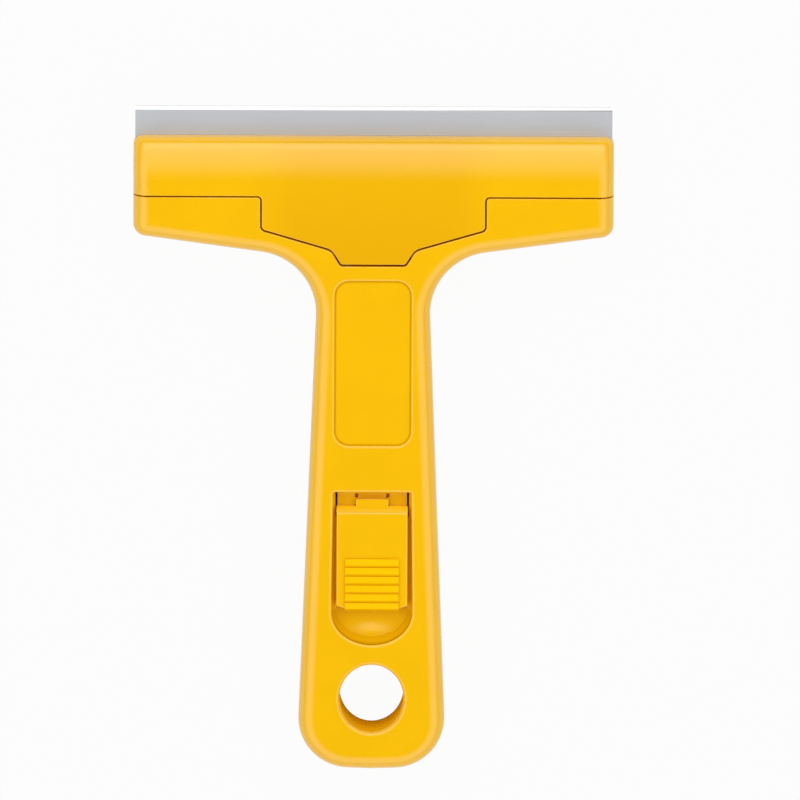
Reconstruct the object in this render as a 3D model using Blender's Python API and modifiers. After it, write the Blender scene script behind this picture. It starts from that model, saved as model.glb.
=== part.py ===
"""Cleaning scraper: a T-shaped hand tool whose blade is clamped by a hinged lid.

The tool lies on its back. X runs across the head, Y from the hanging end to the blade, Z up.
Every drawing place below is a distance from the hanging end, and one frame empty then
centres the tool on the origin. All lengths are in metres.
"""

import math

import bmesh
import bpy
from mathutils import Matrix, Vector

# Outline of the handle and the head, seen from above
head_width = 0.1000
head_front = 0.1344
arm_end_depth = 0.0206
arm_slope = math.radians(7.75)
arm_corner_radius = 0.0027
front_corner_radius = 0.0020
neck_width = 0.0239
neck_depth = 0.0389
neck_radius = 0.0132
end_width = 0.0304
end_place = 0.0125
end_corner_radius = 0.0106
end_crown_rise = 0.0009
end_crown_radius = 0.0750

# Side profile of the tool
body_thickness = 0.0125
edge_radius = 0.0035
nose_arc_radius = 0.0180
nose_slope = math.radians(26.0)
lip_radius = 0.00285
nose_lift = 0.00002
jaw_seat_height = 0.0058
parting_gap = 0.0003

# Walls of the two handle shells
side_wall = 0.0024
top_wall = 0.0022
base_wall = 0.0018
pocket_wall = 0.0016
hole_wall = 0.0018
lid_opening_wall = 0.0017
jaw_root_gap = 0.0006

# Hanging hole and the bare panel
hole_place = 0.0155
hole_width = 0.0134
hole_length = 0.0144
hole_rim_radius = 0.0008
panel_lid_gap = 0.0033
panel_length = 0.0351
panel_width = 0.0160
panel_corner_radius = 0.0031
panel_depth = 0.0005

# Slider pocket with its thumb dish
pocket_front_place = 0.0596
pocket_front_width = 0.0163
pocket_width = 0.0168
pocket_shoulder_place = 0.0340
pocket_end_place = 0.0270
pocket_depth = 0.0026
pocket_fillet = 0.0010
pocket_rim_radius = 0.0004
pocket_fillet_room_share = 0.95
pocket_front_corner = 0.0004
dish_radius = 0.0180
dish_depth = 0.0029
dish_run = 0.0040
corner_slot_width = 0.0008
corner_slot_length = 0.0054
corner_slot_inset = 0.00025

# Clamp lid, seen from above, with the seam all round it
seam_gap = 0.00045
lid_bar_depth = 0.0120
lid_tongue_width = 0.0468
lid_tongue_depth = 0.0070
lid_waist_width = 0.0175
lid_waist_depth = 0.0233
lid_tail_width = 0.0135
lid_length = 0.0265
lid_step_radius = 0.0008
lid_shoulder_radius = 0.0011
lid_waist_radius = 0.0028
lid_tail_radius = 0.0009
lid_plate = 0.0022
lid_rim_width = 0.0014
lid_rim_depth = 0.0043
lid_rib_width = 0.0016
lid_core_depth = 0.0028
lid_core_count = 8
lid_core_inset = 0.00475

# Lid hinge
hinge_tail_inset = 0.0023
hinge_depth = 0.0022
knuckle_radius = 0.0019
knuckle_length = 0.0130
trunnion_radius = 0.0009
trunnion_reach = 0.0015
trunnion_clearance = 0.00015
lid_opening_angle = math.radians(10.0)

# Cam drive: slider travel, cross pin and cam slot
slider_travel = 0.0040
cam_arm = 0.0080
cam_pin_height = 0.0048
cam_pin_radius = 0.0009
cam_slot_clearance = 0.00025
cam_leg_thickness = 0.0026
cam_leg_wall = 0.0011
bar_width = 0.0072
bar_height = 0.0028
bar_rear_place = 0.0420
bar_nose_radius = 0.0012
fork_clearance = 0.0003
fork_length = 0.0125

# Blade and the pegs that place it
blade_width = 0.0993
blade_depth = 0.0180
blade_thickness = 0.0005
blade_reach = 0.0061
blade_clearance = 0.0002
blade_corner_radius = 0.0004
blade_bevel = 0.00085
blade_edge_land = 0.00004
blade_hole_radius = 0.0022
blade_hole_spacing = 0.0560
blade_hole_inset = 0.0055
peg_height = 0.0016
peg_tip_radius = 0.0014
peg_room_clearance = 0.0008

# Thumb slider
button_width = 0.0149
button_rear_place = 0.0342
button_corner_width = 0.0111
button_corner_cut = 0.0007
button_rear_step = 0.0004
button_crest_place = 0.0550
button_ramp = 0.0014
button_top_drop = 0.0005
button_edge_radius = 0.0004
button_clearance = 0.0003
rib_field_length = 0.01125
rib_field_width = 0.0112
rib_count = 6
rib_height = 0.00045
rib_crest_share = 0.80
rib_shoulder_share = 0.62
rib_field_inset = 0.00045
tongue_width = 0.0068
tongue_reach = 0.0015
tongue_drop = 0.0009
stem_width = 0.0060
stem_length = 0.0120
stem_clearance = 0.0006

# Screws
screw_radius = 0.0010
screw_head_radius = 0.0018
screw_head_height = 0.0010
screw_head_sink = 0.0003
screw_hole_clearance = 0.00025
screw_head_clearance = 0.0003
screw_recess_width = 0.0005
screw_recess_length = 0.0022
screw_recess_depth = 0.0006
screw_head_chamfer = 0.00035
screw_tip_radius = 0.0005
boss_radius = 0.0023
screw_tip_cover = 0.0033
arm_screw_depth = 0.0160
arm_screw_spacing = 0.0720
waist_screw_gap = 0.0049
waist_screw_spacing = 0.0134
end_screw_place = 0.0288
end_screw_tip_cover = 0.0044
button_screw_place = 0.0500
button_screw_sink = 0.0003

# Guides of the bar and the detent spring
guide_gap = 0.0003
guide_wall = 0.0011
guide_length = 0.0325
guide_fork_gap = 0.0012
bridge_width = 0.0016
spring_guide_gap = 0.0035
spring_length = 0.0150
spring_width = 0.0030
spring_strip = 0.0003
spring_seat = 0.0004
detent_rise = 0.0005
detent_length = 0.0024
detent_crest_share = 0.33
spring_foot_length = 0.0040

# Working allowances
cut_overrun = 0.0010
join_overlap = 0.0004
arc_step = math.radians(11.25)
round_sides = 32
screw_sides = 24
hole_sides = 40
edge_break = 0.0002
edge_break_steps = 2
cam_steps = 12
edge_steps = 5
nose_steps = 7
least_radius = 0.00005
weld_distance = 0.000002
smooth_angle = math.radians(30)

# Heights and places that follow from the sizes above
tool_length = head_front + blade_reach
head_half = head_width / 2
shell_underside = jaw_seat_height + parting_gap
cavity_ceiling = body_thickness - top_wall
blade_underside = jaw_seat_height + blade_clearance
blade_top = blade_underside + blade_thickness
lid_underside = blade_top + blade_clearance
seam_place = head_front - lid_bar_depth
blade_rear_place = tool_length - blade_depth
jaw_root_place = blade_rear_place - jaw_root_gap
neck_place = head_front - neck_depth
lid_tail_place = head_front - lid_length
panel_end_place = lid_tail_place - panel_lid_gap
panel_place = panel_end_place - panel_length
hinge_place = lid_tail_place + hinge_tail_inset
cam_pin_place = hinge_place + cam_arm
arm_screw_place = head_front - arm_screw_depth
waist_screw_place = pocket_front_place + waist_screw_gap
guide_end_place = cam_pin_place - fork_length - guide_fork_gap
guide_start_place = guide_end_place - guide_length
spring_place = guide_end_place - spring_guide_gap - spring_length
hinge_height = body_thickness - hinge_depth
cam_ratio = lid_opening_angle / slider_travel
bar_top = cam_pin_height + bar_height / 2
bar_underside = cam_pin_height - bar_height / 2
pocket_floor = body_thickness - pocket_depth
pocket_roof = pocket_floor - pocket_wall
button_top = body_thickness - button_top_drop
button_underside = pocket_floor + button_clearance
button_half = button_width / 2
arm_corner_place = head_front - arm_end_depth
rib_pitch = rib_field_length / rib_count


# Outlines

def meet(a, b, c, d):
    """Point where the line through a and b crosses the line through c and d."""
    ab = Vector(b) - Vector(a)
    cd = Vector(d) - Vector(c)
    share = (Vector(c) - Vector(a)).cross(cd) / ab.cross(cd)
    return Vector(a) + ab * share


def both_sides(right_half):
    """Corners (x, y, radius) of a symmetric outline, from those on its right side, rear to front."""
    left_half = [(-x, y, radius) for x, y, radius in reversed(right_half) if x > 0]
    return right_half + left_half


def moved_outwards(corners, distance):
    """The same corners after every side has moved outwards by a distance."""
    count = len(corners)
    points = [Vector(corner[:2]) for corner in corners]
    sides = []
    for index, point in enumerate(points):
        along = (points[(index + 1) % count] - point).normalized()
        shift = Vector((along.y, -along.x)) * distance
        sides.append((point + shift, points[(index + 1) % count] + shift, along))
    moved = []
    for index, corner in enumerate(corners):
        before = sides[index - 1]
        after = sides[index]
        turn = before[2].cross(after[2])
        place = meet(before[0], before[1], after[0], after[1])
        radius = corner[2]
        if radius:
            radius = max(radius + distance * math.copysign(1, turn), least_radius)
        moved.append((place.x, place.y, radius))
    return moved


def rounded(corners):
    """Points of an outline whose corners (x, y, radius) are rounded by arcs."""
    points = []
    count = len(corners)
    for index, (x, y, radius) in enumerate(corners):
        corner = Vector((x, y))
        if not radius:
            points.append(corner)
            continue
        to_before = (Vector(corners[index - 1][:2]) - corner).normalized()
        to_after = (Vector(corners[(index + 1) % count][:2]) - corner).normalized()
        half_angle = to_before.angle(to_after) / 2
        turn = math.pi - 2 * half_angle
        steps = max(2, math.ceil(round(turn / arc_step, 3)))
        centre = corner + (to_before + to_after).normalized() * radius / math.sin(half_angle)
        start = corner + to_before * radius / math.tan(half_angle) - centre
        side = math.copysign(1, to_after.cross(to_before))
        for step in range(steps + 1):
            spin = Matrix.Rotation(side * turn * step / steps, 2)
            points.append(centre + spin @ start)
    return points


def arc(centre_y, centre_z, radius, first, last, steps):
    """Points (y, z) of an arc, with angles measured from +Z towards +Y."""
    angles = [first + (last - first) * step / steps for step in range(steps + 1)]
    return [(centre_y + radius * math.sin(a), centre_z + radius * math.cos(a)) for a in angles]


def tool_outline():
    """Corners of the whole tool seen from above, blade left out."""
    neck_half = neck_width / 2
    end_half = end_width / 2
    crown_slope = end_crown_rise / end_half
    crown_drop = end_crown_radius * (math.hypot(1, crown_slope) - 1)
    neck = Vector((neck_half, neck_place))
    widest = Vector((end_half, end_place))
    crown = Vector((0, -crown_drop))
    crown_side = Vector((end_half, end_crown_rise - crown_drop))
    arm_corner = Vector((head_half, arm_corner_place))
    arm_root = Vector((0, arm_corner_place - head_half * math.tan(arm_slope)))
    end_corner = meet(neck, widest, crown, crown_side)
    neck_corner = meet(neck, widest, arm_root, arm_corner)
    return both_sides([
        (0, crown.y, end_crown_radius),
        (end_corner.x, end_corner.y, end_corner_radius),
        (neck_corner.x, neck_corner.y, neck_radius),
        (head_half, arm_corner_place, arm_corner_radius),
        (head_half, head_front, front_corner_radius),
    ])


def lid_outline():
    """Corners of the seam line round the lid, which runs past the head's sides and front."""
    side = head_half + edge_radius
    return both_sides([
        (lid_tail_width / 2, lid_tail_place, lid_tail_radius),
        (lid_waist_width / 2, head_front - lid_waist_depth, lid_waist_radius),
        (lid_tongue_width / 2, seam_place - lid_tongue_depth, lid_shoulder_radius),
        (lid_tongue_width / 2, seam_place, lid_step_radius),
        (side, seam_place, 0),
        (side, head_front + edge_radius, 0),
    ])


def pocket_outline():
    """Corners of the slider pocket: straight sides, then half an ellipse at the thumb dish."""
    half = pocket_width / 2
    front_half = pocket_front_width / 2
    depth = pocket_shoulder_place - pocket_end_place
    steps = round_sides // 2
    corners = []
    for step in range(steps + 1):
        angle = math.pi * step / steps
        corners.append((-half * math.cos(angle), pocket_shoulder_place - depth * math.sin(angle), 0))
    corners.append((half, pocket_shoulder_place + dish_run, 0))
    corners.append((front_half, pocket_front_place, pocket_front_corner))
    corners.append((-front_half, pocket_front_place, pocket_front_corner))
    corners.append((-half, pocket_shoulder_place + dish_run, 0))
    return corners


# Modelling tools

def new_object(name, mesh):
    """An object with this mesh, in the scraper's own collection."""
    made = bpy.data.objects.new(name, mesh)
    scraper_parts.objects.link(made)
    return made


def evaluated(made):
    """Replace an object's data by its evaluated mesh, and drop its modifiers."""
    graph = bpy.context.evaluated_depsgraph_get()
    mesh = bpy.data.meshes.new_from_object(made.evaluated_get(graph))
    solid = new_object(made.name + "_solid", mesh)
    solid.matrix_world = made.matrix_world
    name = made.name
    bpy.data.objects.remove(made)
    solid.name = name
    return solid


def weld(mesh):
    """Join the loose caps of a filled curve to its sides."""
    edit = bmesh.new()
    edit.from_mesh(mesh)
    bmesh.ops.remove_doubles(edit, verts=edit.verts, dist=weld_distance)
    bmesh.ops.recalc_face_normals(edit, faces=edit.faces)
    edit.to_mesh(mesh)
    edit.free()


def slab(name, outline, low, high, axis="Z"):
    """A flat outline given thickness from low to high along Z, or along X if it is in (y, z)."""
    curve = bpy.data.curves.new(name, "CURVE")
    curve.dimensions = "2D"
    curve.fill_mode = "BOTH"
    curve.extrude = (high - low) / 2
    spline = curve.splines.new("POLY")
    spline.points.add(len(outline) - 1)
    for point, place in zip(spline.points, outline):
        point.co = (place[0], place[1], 0, 1)
    spline.use_cyclic_u = True
    drawn = new_object(name, curve)
    lift = Matrix.Translation((0, 0, (low + high) / 2))
    if axis == "X":
        turn = Matrix(((0, 0, 1, 0), (1, 0, 0, 0), (0, 1, 0, 0), (0, 0, 0, 1)))
        lift = turn @ lift
    solid = evaluated(drawn)
    solid.data.transform(lift)
    weld(solid.data)
    return solid


def lofted(name, edit, rings, first_cap=True):
    """A closed solid through rings of vertices, where the first ring may have its own cap."""
    for below, above in zip(rings, rings[1:]):
        for index in range(len(below)):
            edit.faces.new((below[index - 1], below[index], above[index], above[index - 1]))
    if first_cap:
        edit.faces.new(reversed(rings[0]))
    edit.faces.new(rings[-1])
    bmesh.ops.recalc_face_normals(edit, faces=edit.faces)
    mesh = bpy.data.meshes.new(name)
    edit.to_mesh(mesh)
    edit.free()
    return new_object(name, mesh)


def stacked_slab(name, corners, levels):
    """A rounded outline carried upwards through levels of (growth, height)."""
    edit = bmesh.new()
    rings = []
    for growth, height in levels:
        outline = rounded(moved_outwards(corners, growth))
        rings.append([edit.verts.new((x, y, height)) for x, y in outline])
    return lofted(name, edit, rings)


def filleted_slab(name, corners, low, high, fillet, low_edge=True, high_edge=True):
    """A rounded outline given thickness along Z, with its edges filleted."""
    angles = [math.pi / 2 * step / edge_steps for step in range(edge_steps + 1)]
    insets = [(fillet * (1 - math.sin(a)), fillet * (1 - math.cos(a))) for a in angles]
    levels = [(-inset, low + rise) for inset, rise in insets] if low_edge else [(0, low)]
    levels += [(-inset, high - rise) for inset, rise in reversed(insets)] if high_edge else [(0, high)]
    return stacked_slab(name, corners, levels)


def broken_edge(growth, way, radius=edge_break):
    """Levels that leave a small round edge at the tool's face, then run out above it.

    The outline flares outwards there (way 1) on a cutter, and draws in (way -1) on a limit.
    """
    angles = [math.pi / 2 * step / edge_break_steps for step in range(edge_break_steps + 1)]
    levels = []
    for angle in angles:
        reach = growth + way * radius * (1 - math.cos(angle))
        levels.append((reach, body_thickness - radius * (1 - math.sin(angle))))
    return levels + [(growth + way * radius, body_thickness + cut_overrun)]


def block(name, low, high):
    """A box between two corners."""
    mesh = bpy.data.meshes.new(name)
    edit = bmesh.new()
    size = Vector(high) - Vector(low)
    middle = (Vector(high) + Vector(low)) / 2
    place = Matrix.Translation(middle) @ Matrix.Diagonal((*size, 1))
    bmesh.ops.create_cube(edit, size=1, matrix=place)
    edit.to_mesh(mesh)
    edit.free()
    return new_object(name, mesh)


def rod(name, start, end, radius, end_radius=None):
    """A cylinder, or a cone, between two points."""
    mesh = bpy.data.meshes.new(name)
    edit = bmesh.new()
    run = Vector(end) - Vector(start)
    middle = (Vector(start) + Vector(end)) / 2
    turn = run.to_track_quat("Z", "Y").to_matrix().to_4x4()
    tip = radius if end_radius is None else end_radius
    bmesh.ops.create_cone(
        edit, cap_ends=True, segments=round_sides, radius1=radius, radius2=tip,
        depth=run.length, matrix=Matrix.Translation(middle) @ turn,
    )
    edit.to_mesh(mesh)
    edit.free()
    return new_object(name, mesh)


def turned(name, profile, x, y, steps=round_sides):
    """A profile of (radius, z) points, top to bottom, turned about the vertical through x and y."""
    mesh = bpy.data.meshes.new(name)
    edges = [(index, index + 1) for index in range(len(profile) - 1)]
    mesh.from_pydata([(radius, 0, z) for radius, z in profile], edges, [])
    made = new_object(name, mesh)
    screw = made.modifiers.new("turn", "SCREW")
    screw.axis = "Z"
    screw.steps = steps
    screw.render_steps = steps
    screw.use_merge_vertices = True
    screw.merge_threshold = weld_distance
    solid = evaluated(made)
    solid.data.transform(Matrix.Translation((x, y, 0)))
    weld(solid.data)
    return solid


def closed_volume(made):
    """Volume of an object as its modifiers leave it, or nothing where an edge is open."""
    edit = bmesh.new()
    edit.from_object(made, bpy.context.evaluated_depsgraph_get())
    closed = all(edge.is_manifold for edge in edit.edges)
    volume = edit.calc_volume() if closed else 0
    edit.free()
    return volume


def combine(made, tool, operation):
    """Cut, join or intersect a solid with a tool, then remove the tool.

    Where faces nearly touch, the EXACT solver can leave an edge open or leave the solid as it
    was. MANIFOLD works there.
    """
    before = closed_volume(made)
    change = made.modifiers.new(operation.lower(), "BOOLEAN")
    change.operation = operation
    change.solver = "EXACT"
    change.object = tool
    after = closed_volume(made)
    if not after or abs(after - before) < join_overlap ** 3:
        change.solver = "MANIFOLD"
    solid = evaluated(made)
    bpy.data.objects.remove(tool)
    return solid


def cut(made, *tools):
    """Cut each tool out of a solid."""
    for tool in tools:
        made = combine(made, tool, "DIFFERENCE")
    return made


def join(made, *tools):
    """Fuse each tool to a solid."""
    for tool in tools:
        made = combine(made, tool, "UNION")
    return made


def common(made, tool):
    """What a solid and a tool have in common."""
    return combine(made, tool, "INTERSECT")


def finish(made, material, pivot=(0, 0, 0)):
    """Give a solid its material, smooth round faces and its origin."""
    made.data.materials.clear()
    made.data.materials.append(material)
    made.data.shade_smooth()
    made.data.set_sharp_from_angle(angle=smooth_angle)
    made.data.transform(Matrix.Translation(-Vector(pivot)))
    made.location = pivot
    made.parent = scraper_frame
    return made


def finish_material(name, colour, roughness, metallic):
    """A Principled material of one colour."""
    material = bpy.data.materials.new(name)
    material.use_nodes = True
    shader = material.node_tree.nodes["Principled BSDF"]
    shader.inputs["Base Color"].default_value = (*colour, 1)
    shader.inputs["Roughness"].default_value = roughness
    shader.inputs["Metallic"].default_value = metallic
    material.diffuse_color = (*colour, 1)
    return material


# Outer form shared by both shells and the lid

def nose_profile():
    """Points (y, z) of the head's convex nose: a broad arc, then a tighter one round the lip."""
    lip_place = head_front + nose_lift - lip_radius
    inner_radius = nose_arc_radius - lip_radius
    arc_place = lip_place - inner_radius * math.sin(nose_slope)
    arc_height = body_thickness + nose_lift - nose_arc_radius
    lip_height = arc_height + inner_radius * math.cos(nose_slope)
    broad = arc(arc_place, arc_height, nose_arc_radius, 0, nose_slope, nose_steps)
    lip = arc(lip_place, lip_height, lip_radius, nose_slope, math.pi / 2, edge_steps)
    return broad + lip[1:] + [(head_front + edge_radius, lip_height)]


def nose_cutter(name, upside_down=False):
    """Everything above the convex nose, or below it, with the side fillets carried along it."""
    centre = head_half + nose_lift - edge_radius
    side = arc(centre, -edge_radius, edge_radius, 0, math.pi / 2, edge_steps)
    reach = head_half + cut_overrun
    above = body_thickness + cut_overrun
    edit = bmesh.new()
    rings = []
    for y, z in nose_profile():
        right = [(x, z + drop) for x, drop in side] + [(reach, z - edge_radius), (reach, above)]
        section = right + [(-x, height) for x, height in reversed(right)]
        if upside_down:
            section = [(x, body_thickness - height) for x, height in section]
        rings.append([edit.verts.new((x, y, height)) for x, height in section])
    return lofted(name, edit, rings)


def outer_form(name):
    """The whole tool as one solid: rounded outline, convex nose above and below."""
    form = filleted_slab(name, tool_outline(), 0, body_thickness, edge_radius)
    return cut(form, nose_cutter("upper_nose"), nose_cutter("lower_nose", upside_down=True))


def half_space(name, low, high):
    """A box over the whole tool between two heights."""
    reach = head_half + cut_overrun
    return block(name, (-reach, -cut_overrun, low), (reach, head_front + cut_overrun, high))


def hole_cutter(name, margin=0, flared=True):
    """The hanging hole, oval, with rims rounded on both faces."""
    radius = hole_width / 2 + margin
    top = body_thickness + cut_overrun
    if flared:
        rim = hole_rim_radius
        angles = [math.pi / 2 * step / edge_steps for step in range(edge_steps + 1)]
        flare = [(radius + rim * (1 - math.sin(a)), rim * (1 - math.cos(a))) for a in angles]
        profile = [(0, top), (radius + rim, top)]
        profile += [(reach, body_thickness - drop) for reach, drop in flare]
        profile += reversed(flare)
        profile += [(radius + rim, -cut_overrun), (0, -cut_overrun)]
    else:
        profile = [(0, top), (radius, top), (radius, -cut_overrun), (0, -cut_overrun)]
    cutter = turned(name, profile, 0, 0, steps=hole_sides)
    stretch = (hole_length / 2 + margin) / radius
    place = Matrix.Translation((0, hole_place, 0)) @ Matrix.Diagonal((1, stretch, 1, 1))
    cutter.data.transform(place)
    return cutter


def screw_places():
    """Where the five shell screws stand, with the height that each tip reaches."""
    arm = arm_screw_spacing / 2
    waist = waist_screw_spacing / 2
    tip = body_thickness - screw_tip_cover
    return [
        (-arm, arm_screw_place, tip),
        (arm, arm_screw_place, tip),
        (-waist, waist_screw_place, tip),
        (waist, waist_screw_place, tip),
        (0, end_screw_place, body_thickness - end_screw_tip_cover),
    ]


# Handle shell

def opening_wall():
    """The wall that runs round the lid's opening under the shell's top."""
    wall = moved_outwards(lid_outline(), seam_gap / 2 + lid_opening_wall)
    solid = slab("opening_wall", rounded(wall), shell_underside, cavity_ceiling + join_overlap)
    inside = moved_outwards(tool_outline(), -side_wall / 2)
    return common(solid, slab("opening_limit", rounded(inside), 0, body_thickness))


def pocket_tub():
    """The block under the shell's top that the slider pocket is sunk into."""
    wider = rounded(moved_outwards(pocket_outline(), pocket_wall))
    return slab("pocket_tub", wider, pocket_roof, cavity_ceiling + join_overlap)


def pocket_floor_at(place):
    """Height of the pocket's floor: flat under the slider, a short slope, then the dish's arc."""
    low = body_thickness - dish_depth
    if place < pocket_shoulder_place:
        run = pocket_shoulder_place - place
        return low + dish_radius - math.sqrt(dish_radius ** 2 - run ** 2)
    share = min((place - pocket_shoulder_place) / dish_run, 1)
    return low + (pocket_floor - low) * share


def pocket_cutter():
    """The pocket with its round rim, and a fillet that follows its floor as the thumb dish rises."""
    angles = [math.pi / 2 * step / edge_steps for step in range(edge_steps + 1)]
    edit = bmesh.new()
    rings = []
    for angle in angles:
        ring = []
        for x, y in rounded(moved_outwards(pocket_outline(), pocket_fillet * (math.sin(angle) - 1))):
            floor = pocket_floor_at(y)
            room = (body_thickness - pocket_rim_radius - floor) * pocket_fillet_room_share
            fillet = min(pocket_fillet, room)
            ring.append(edit.verts.new((x, y, floor + fillet * (1 - math.cos(angle)))))
        rings.append(ring)
    for growth, height in broken_edge(0, 1, pocket_rim_radius):
        outline = rounded(moved_outwards(pocket_outline(), growth))
        rings.append([edit.verts.new((x, y, height)) for x, y in outline])
    floor = rings[0]
    rear = round_sides // 4
    pairs = [(floor[rear + step], floor[rear - step]) for step in range(1, len(floor) // 2 + 1)]
    edit.faces.new((floor[rear], *pairs[0]))
    for (right, left), (next_right, next_left) in zip(pairs, pairs[1:]):
        edit.faces.new((right, next_right, next_left, left))
    return lofted("pocket_room", edit, rings, first_cap=False)


def corner_slots():
    """The two narrow slots through the pocket floor beside the slider's front end."""
    outer = pocket_front_width / 2 - corner_slot_inset
    inner = outer - corner_slot_width
    low = pocket_roof - cut_overrun
    high = pocket_floor + cut_overrun
    front = pocket_front_place - pocket_front_corner
    rear = front - corner_slot_length
    return [
        block("left_slot", (-outer, rear, low), (-inner, front, high)),
        block("right_slot", (inner, rear, low), (outer, front, high)),
    ]


def stem_slot():
    """The slot through the pocket floor that the slider's stem travels in."""
    half = stem_width / 2 + stem_clearance
    rear = button_screw_place - stem_length / 2 - slider_travel - stem_clearance
    front = button_screw_place + stem_length / 2 + stem_clearance
    low = pocket_roof - cut_overrun
    return block("stem_slot", (-half, rear, low), (half, front, pocket_floor + cut_overrun))


def panel_cutter():
    """The shallow bare panel on the handle."""
    half = panel_width / 2
    corners = both_sides([
        (half, panel_place, panel_corner_radius),
        (half, panel_end_place, panel_corner_radius),
    ])
    floor = body_thickness - panel_depth
    return stacked_slab("panel_recess", corners, [(0, floor)] + broken_edge(0, 1))


def trunnion_sockets():
    """The round sockets in the opening's wall that the lid's trunnions snap into."""
    return cross_rod("sockets", socket_reach(), trunnion_radius + trunnion_clearance)


def handle_shell():
    """Front half of the handle with the arms: the moulding that carries pocket, panel and hinge."""
    upper_half = half_space("upper_half", shell_underside, body_thickness + cut_overrun)
    shell = common(outer_form("handle_shell"), upper_half)
    room = rounded(moved_outwards(tool_outline(), -side_wall))
    shell = cut(shell, slab("shell_cavity", room, 0, cavity_ceiling))
    top = cavity_ceiling + join_overlap
    hole_collar = hole_cutter("hole_collar", margin=hole_wall, flared=False)
    hole_collar = common(hole_collar, half_space("collar_height", shell_underside, top))
    shell = join(shell, hole_collar, pocket_tub(), opening_wall())
    for x, y, tip in screw_places():
        shell = join(shell, rod("boss", (x, y, shell_underside), (x, y, top), boss_radius))
    opening = [(seam_gap / 2, 0)] + broken_edge(seam_gap / 2, 1)
    shell = cut(shell, stacked_slab("lid_opening", lid_outline(), opening))
    half = bar_width / 2 + stem_clearance
    bar_pass = block("bar_pass", (-half, neck_place, 0), (half, hinge_place, bar_top + stem_clearance))
    shell = cut(shell, bar_pass, pocket_cutter(), *corner_slots(), stem_slot(), panel_cutter())
    shell = cut(shell, hole_cutter("hanging_hole"), trunnion_sockets())
    for x, y, tip in screw_places():
        end = tip + screw_hole_clearance
        shell = cut(shell, rod("pilot", (x, y, 0), (x, y, end), screw_radius + screw_hole_clearance))
    return finish(shell, yellow_plastic)


# Base shell

def locating_pegs():
    """The two pegs of the jaw that the blade's holes drop over."""
    place = blade_rear_place + blade_hole_inset
    radius = blade_hole_radius - blade_clearance
    tip = jaw_seat_height + peg_height
    root = jaw_seat_height - join_overlap
    profile = [(0, tip), (peg_tip_radius, tip), (radius, blade_top), (radius, root), (0, root)]
    return [turned("peg", profile, x, place) for x in (-blade_hole_spacing / 2, blade_hole_spacing / 2)]


def bar_guides():
    """Two rails beside the bar, two bridges under it and the detent spring's seat."""
    inner = bar_width / 2 + guide_gap
    outer = inner + guide_wall
    floor = base_wall - join_overlap
    end = guide_end_place
    bridge_top = bar_underside - guide_gap
    reach = outer - join_overlap
    guides = [
        block("left_rail", (-outer, guide_start_place, floor), (-inner, end, jaw_seat_height)),
        block("right_rail", (inner, guide_start_place, floor), (outer, end, jaw_seat_height)),
    ]
    for start in (guide_start_place, end - bridge_width):
        guides.append(block("bridge", (-reach, start, floor), (reach, start + bridge_width, bridge_top)))
    half = spring_width / 2 + guide_wall
    foot_end = spring_place + spring_foot_length
    seat_top = base_wall + spring_seat
    guides.append(block("spring_seat", (-half, spring_place, floor), (half, foot_end, seat_top)))
    return guides


def base_shell():
    """Back half of the handle: the jaw under the blade, and the floor that the bar slides over."""
    lower_half = half_space("lower_half", -cut_overrun, jaw_seat_height)
    base = common(outer_form("base_shell"), lower_half)
    room = slab("base_cavity", rounded(moved_outwards(tool_outline(), -side_wall)), base_wall, body_thickness)
    reach = head_half + cut_overrun
    behind_jaw = block("behind_jaw", (-reach, -cut_overrun, 0), (reach, jaw_root_place, body_thickness))
    base = cut(base, common(room, behind_jaw))
    floor = base_wall - join_overlap
    hole_collar = hole_cutter("hole_collar", margin=hole_wall, flared=False)
    hole_collar = common(hole_collar, half_space("collar_height", floor, jaw_seat_height))
    base = join(base, hole_collar, *bar_guides(), *locating_pegs())
    for x, y, tip in screw_places():
        base = join(base, rod("boss", (x, y, floor), (x, y, jaw_seat_height), boss_radius))
    base = cut(base, hole_cutter("hanging_hole"))
    seat = screw_head_sink + screw_head_height + screw_head_clearance
    for x, y, tip in screw_places():
        sink = rod("head_sink", (x, y, -cut_overrun), (x, y, seat), screw_head_radius + screw_head_clearance)
        shank = rod("shank_hole", (x, y, 0), (x, y, body_thickness), screw_radius + screw_hole_clearance)
        base = cut(base, sink, shank)
    return finish(base, yellow_plastic)


# Clamp lid

def lid_half_width_at(place):
    """Half the lid's width at a place between its tail and its waist."""
    tail = Vector((lid_tail_width / 2, lid_tail_place))
    waist = Vector((lid_waist_width / 2, head_front - lid_waist_depth))
    crossing = meet(tail, waist, (0, place), (1, place))
    return crossing.x


def socket_reach():
    """How far from the middle the trunnion sockets end."""
    return lid_half_width_at(hinge_place) + seam_gap / 2 + trunnion_reach + trunnion_clearance


def cam_path():
    """Places (y, z) of the cross pin in the closed lid's frame, as the slider draws it back.

    The lid turns by cam_ratio times the slide, so the pin's straight path, turned back by the
    lid's own angle about the hinge, is the centre line that the slot has to have.
    """
    path = []
    for step in range(-1, cam_steps + 2):
        slide = slider_travel * step / cam_steps
        angle = cam_ratio * slide
        y = cam_pin_place - slide - hinge_place
        z = cam_pin_height - hinge_height
        path.append(Vector((hinge_place + y * math.cos(angle) + z * math.sin(angle),
                            hinge_height - y * math.sin(angle) + z * math.cos(angle))))
    return path


def around_path(path, radius):
    """Outline at a distance all round a path, with round ends."""
    outline = []
    for way in (path, path[::-1]):
        for index, point in enumerate(way):
            ahead = way[min(index + 1, len(way) - 1)] - way[max(index - 1, 0)]
            outward = Vector((ahead.y, -ahead.x)).normalized() * radius
            outline.append(point + outward)
        for step in range(1, edge_steps + 1):
            spin = Matrix.Rotation(math.pi * step / (edge_steps + 1), 2)
            outline.append(way[-1] + spin @ outward)
    return outline


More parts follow.
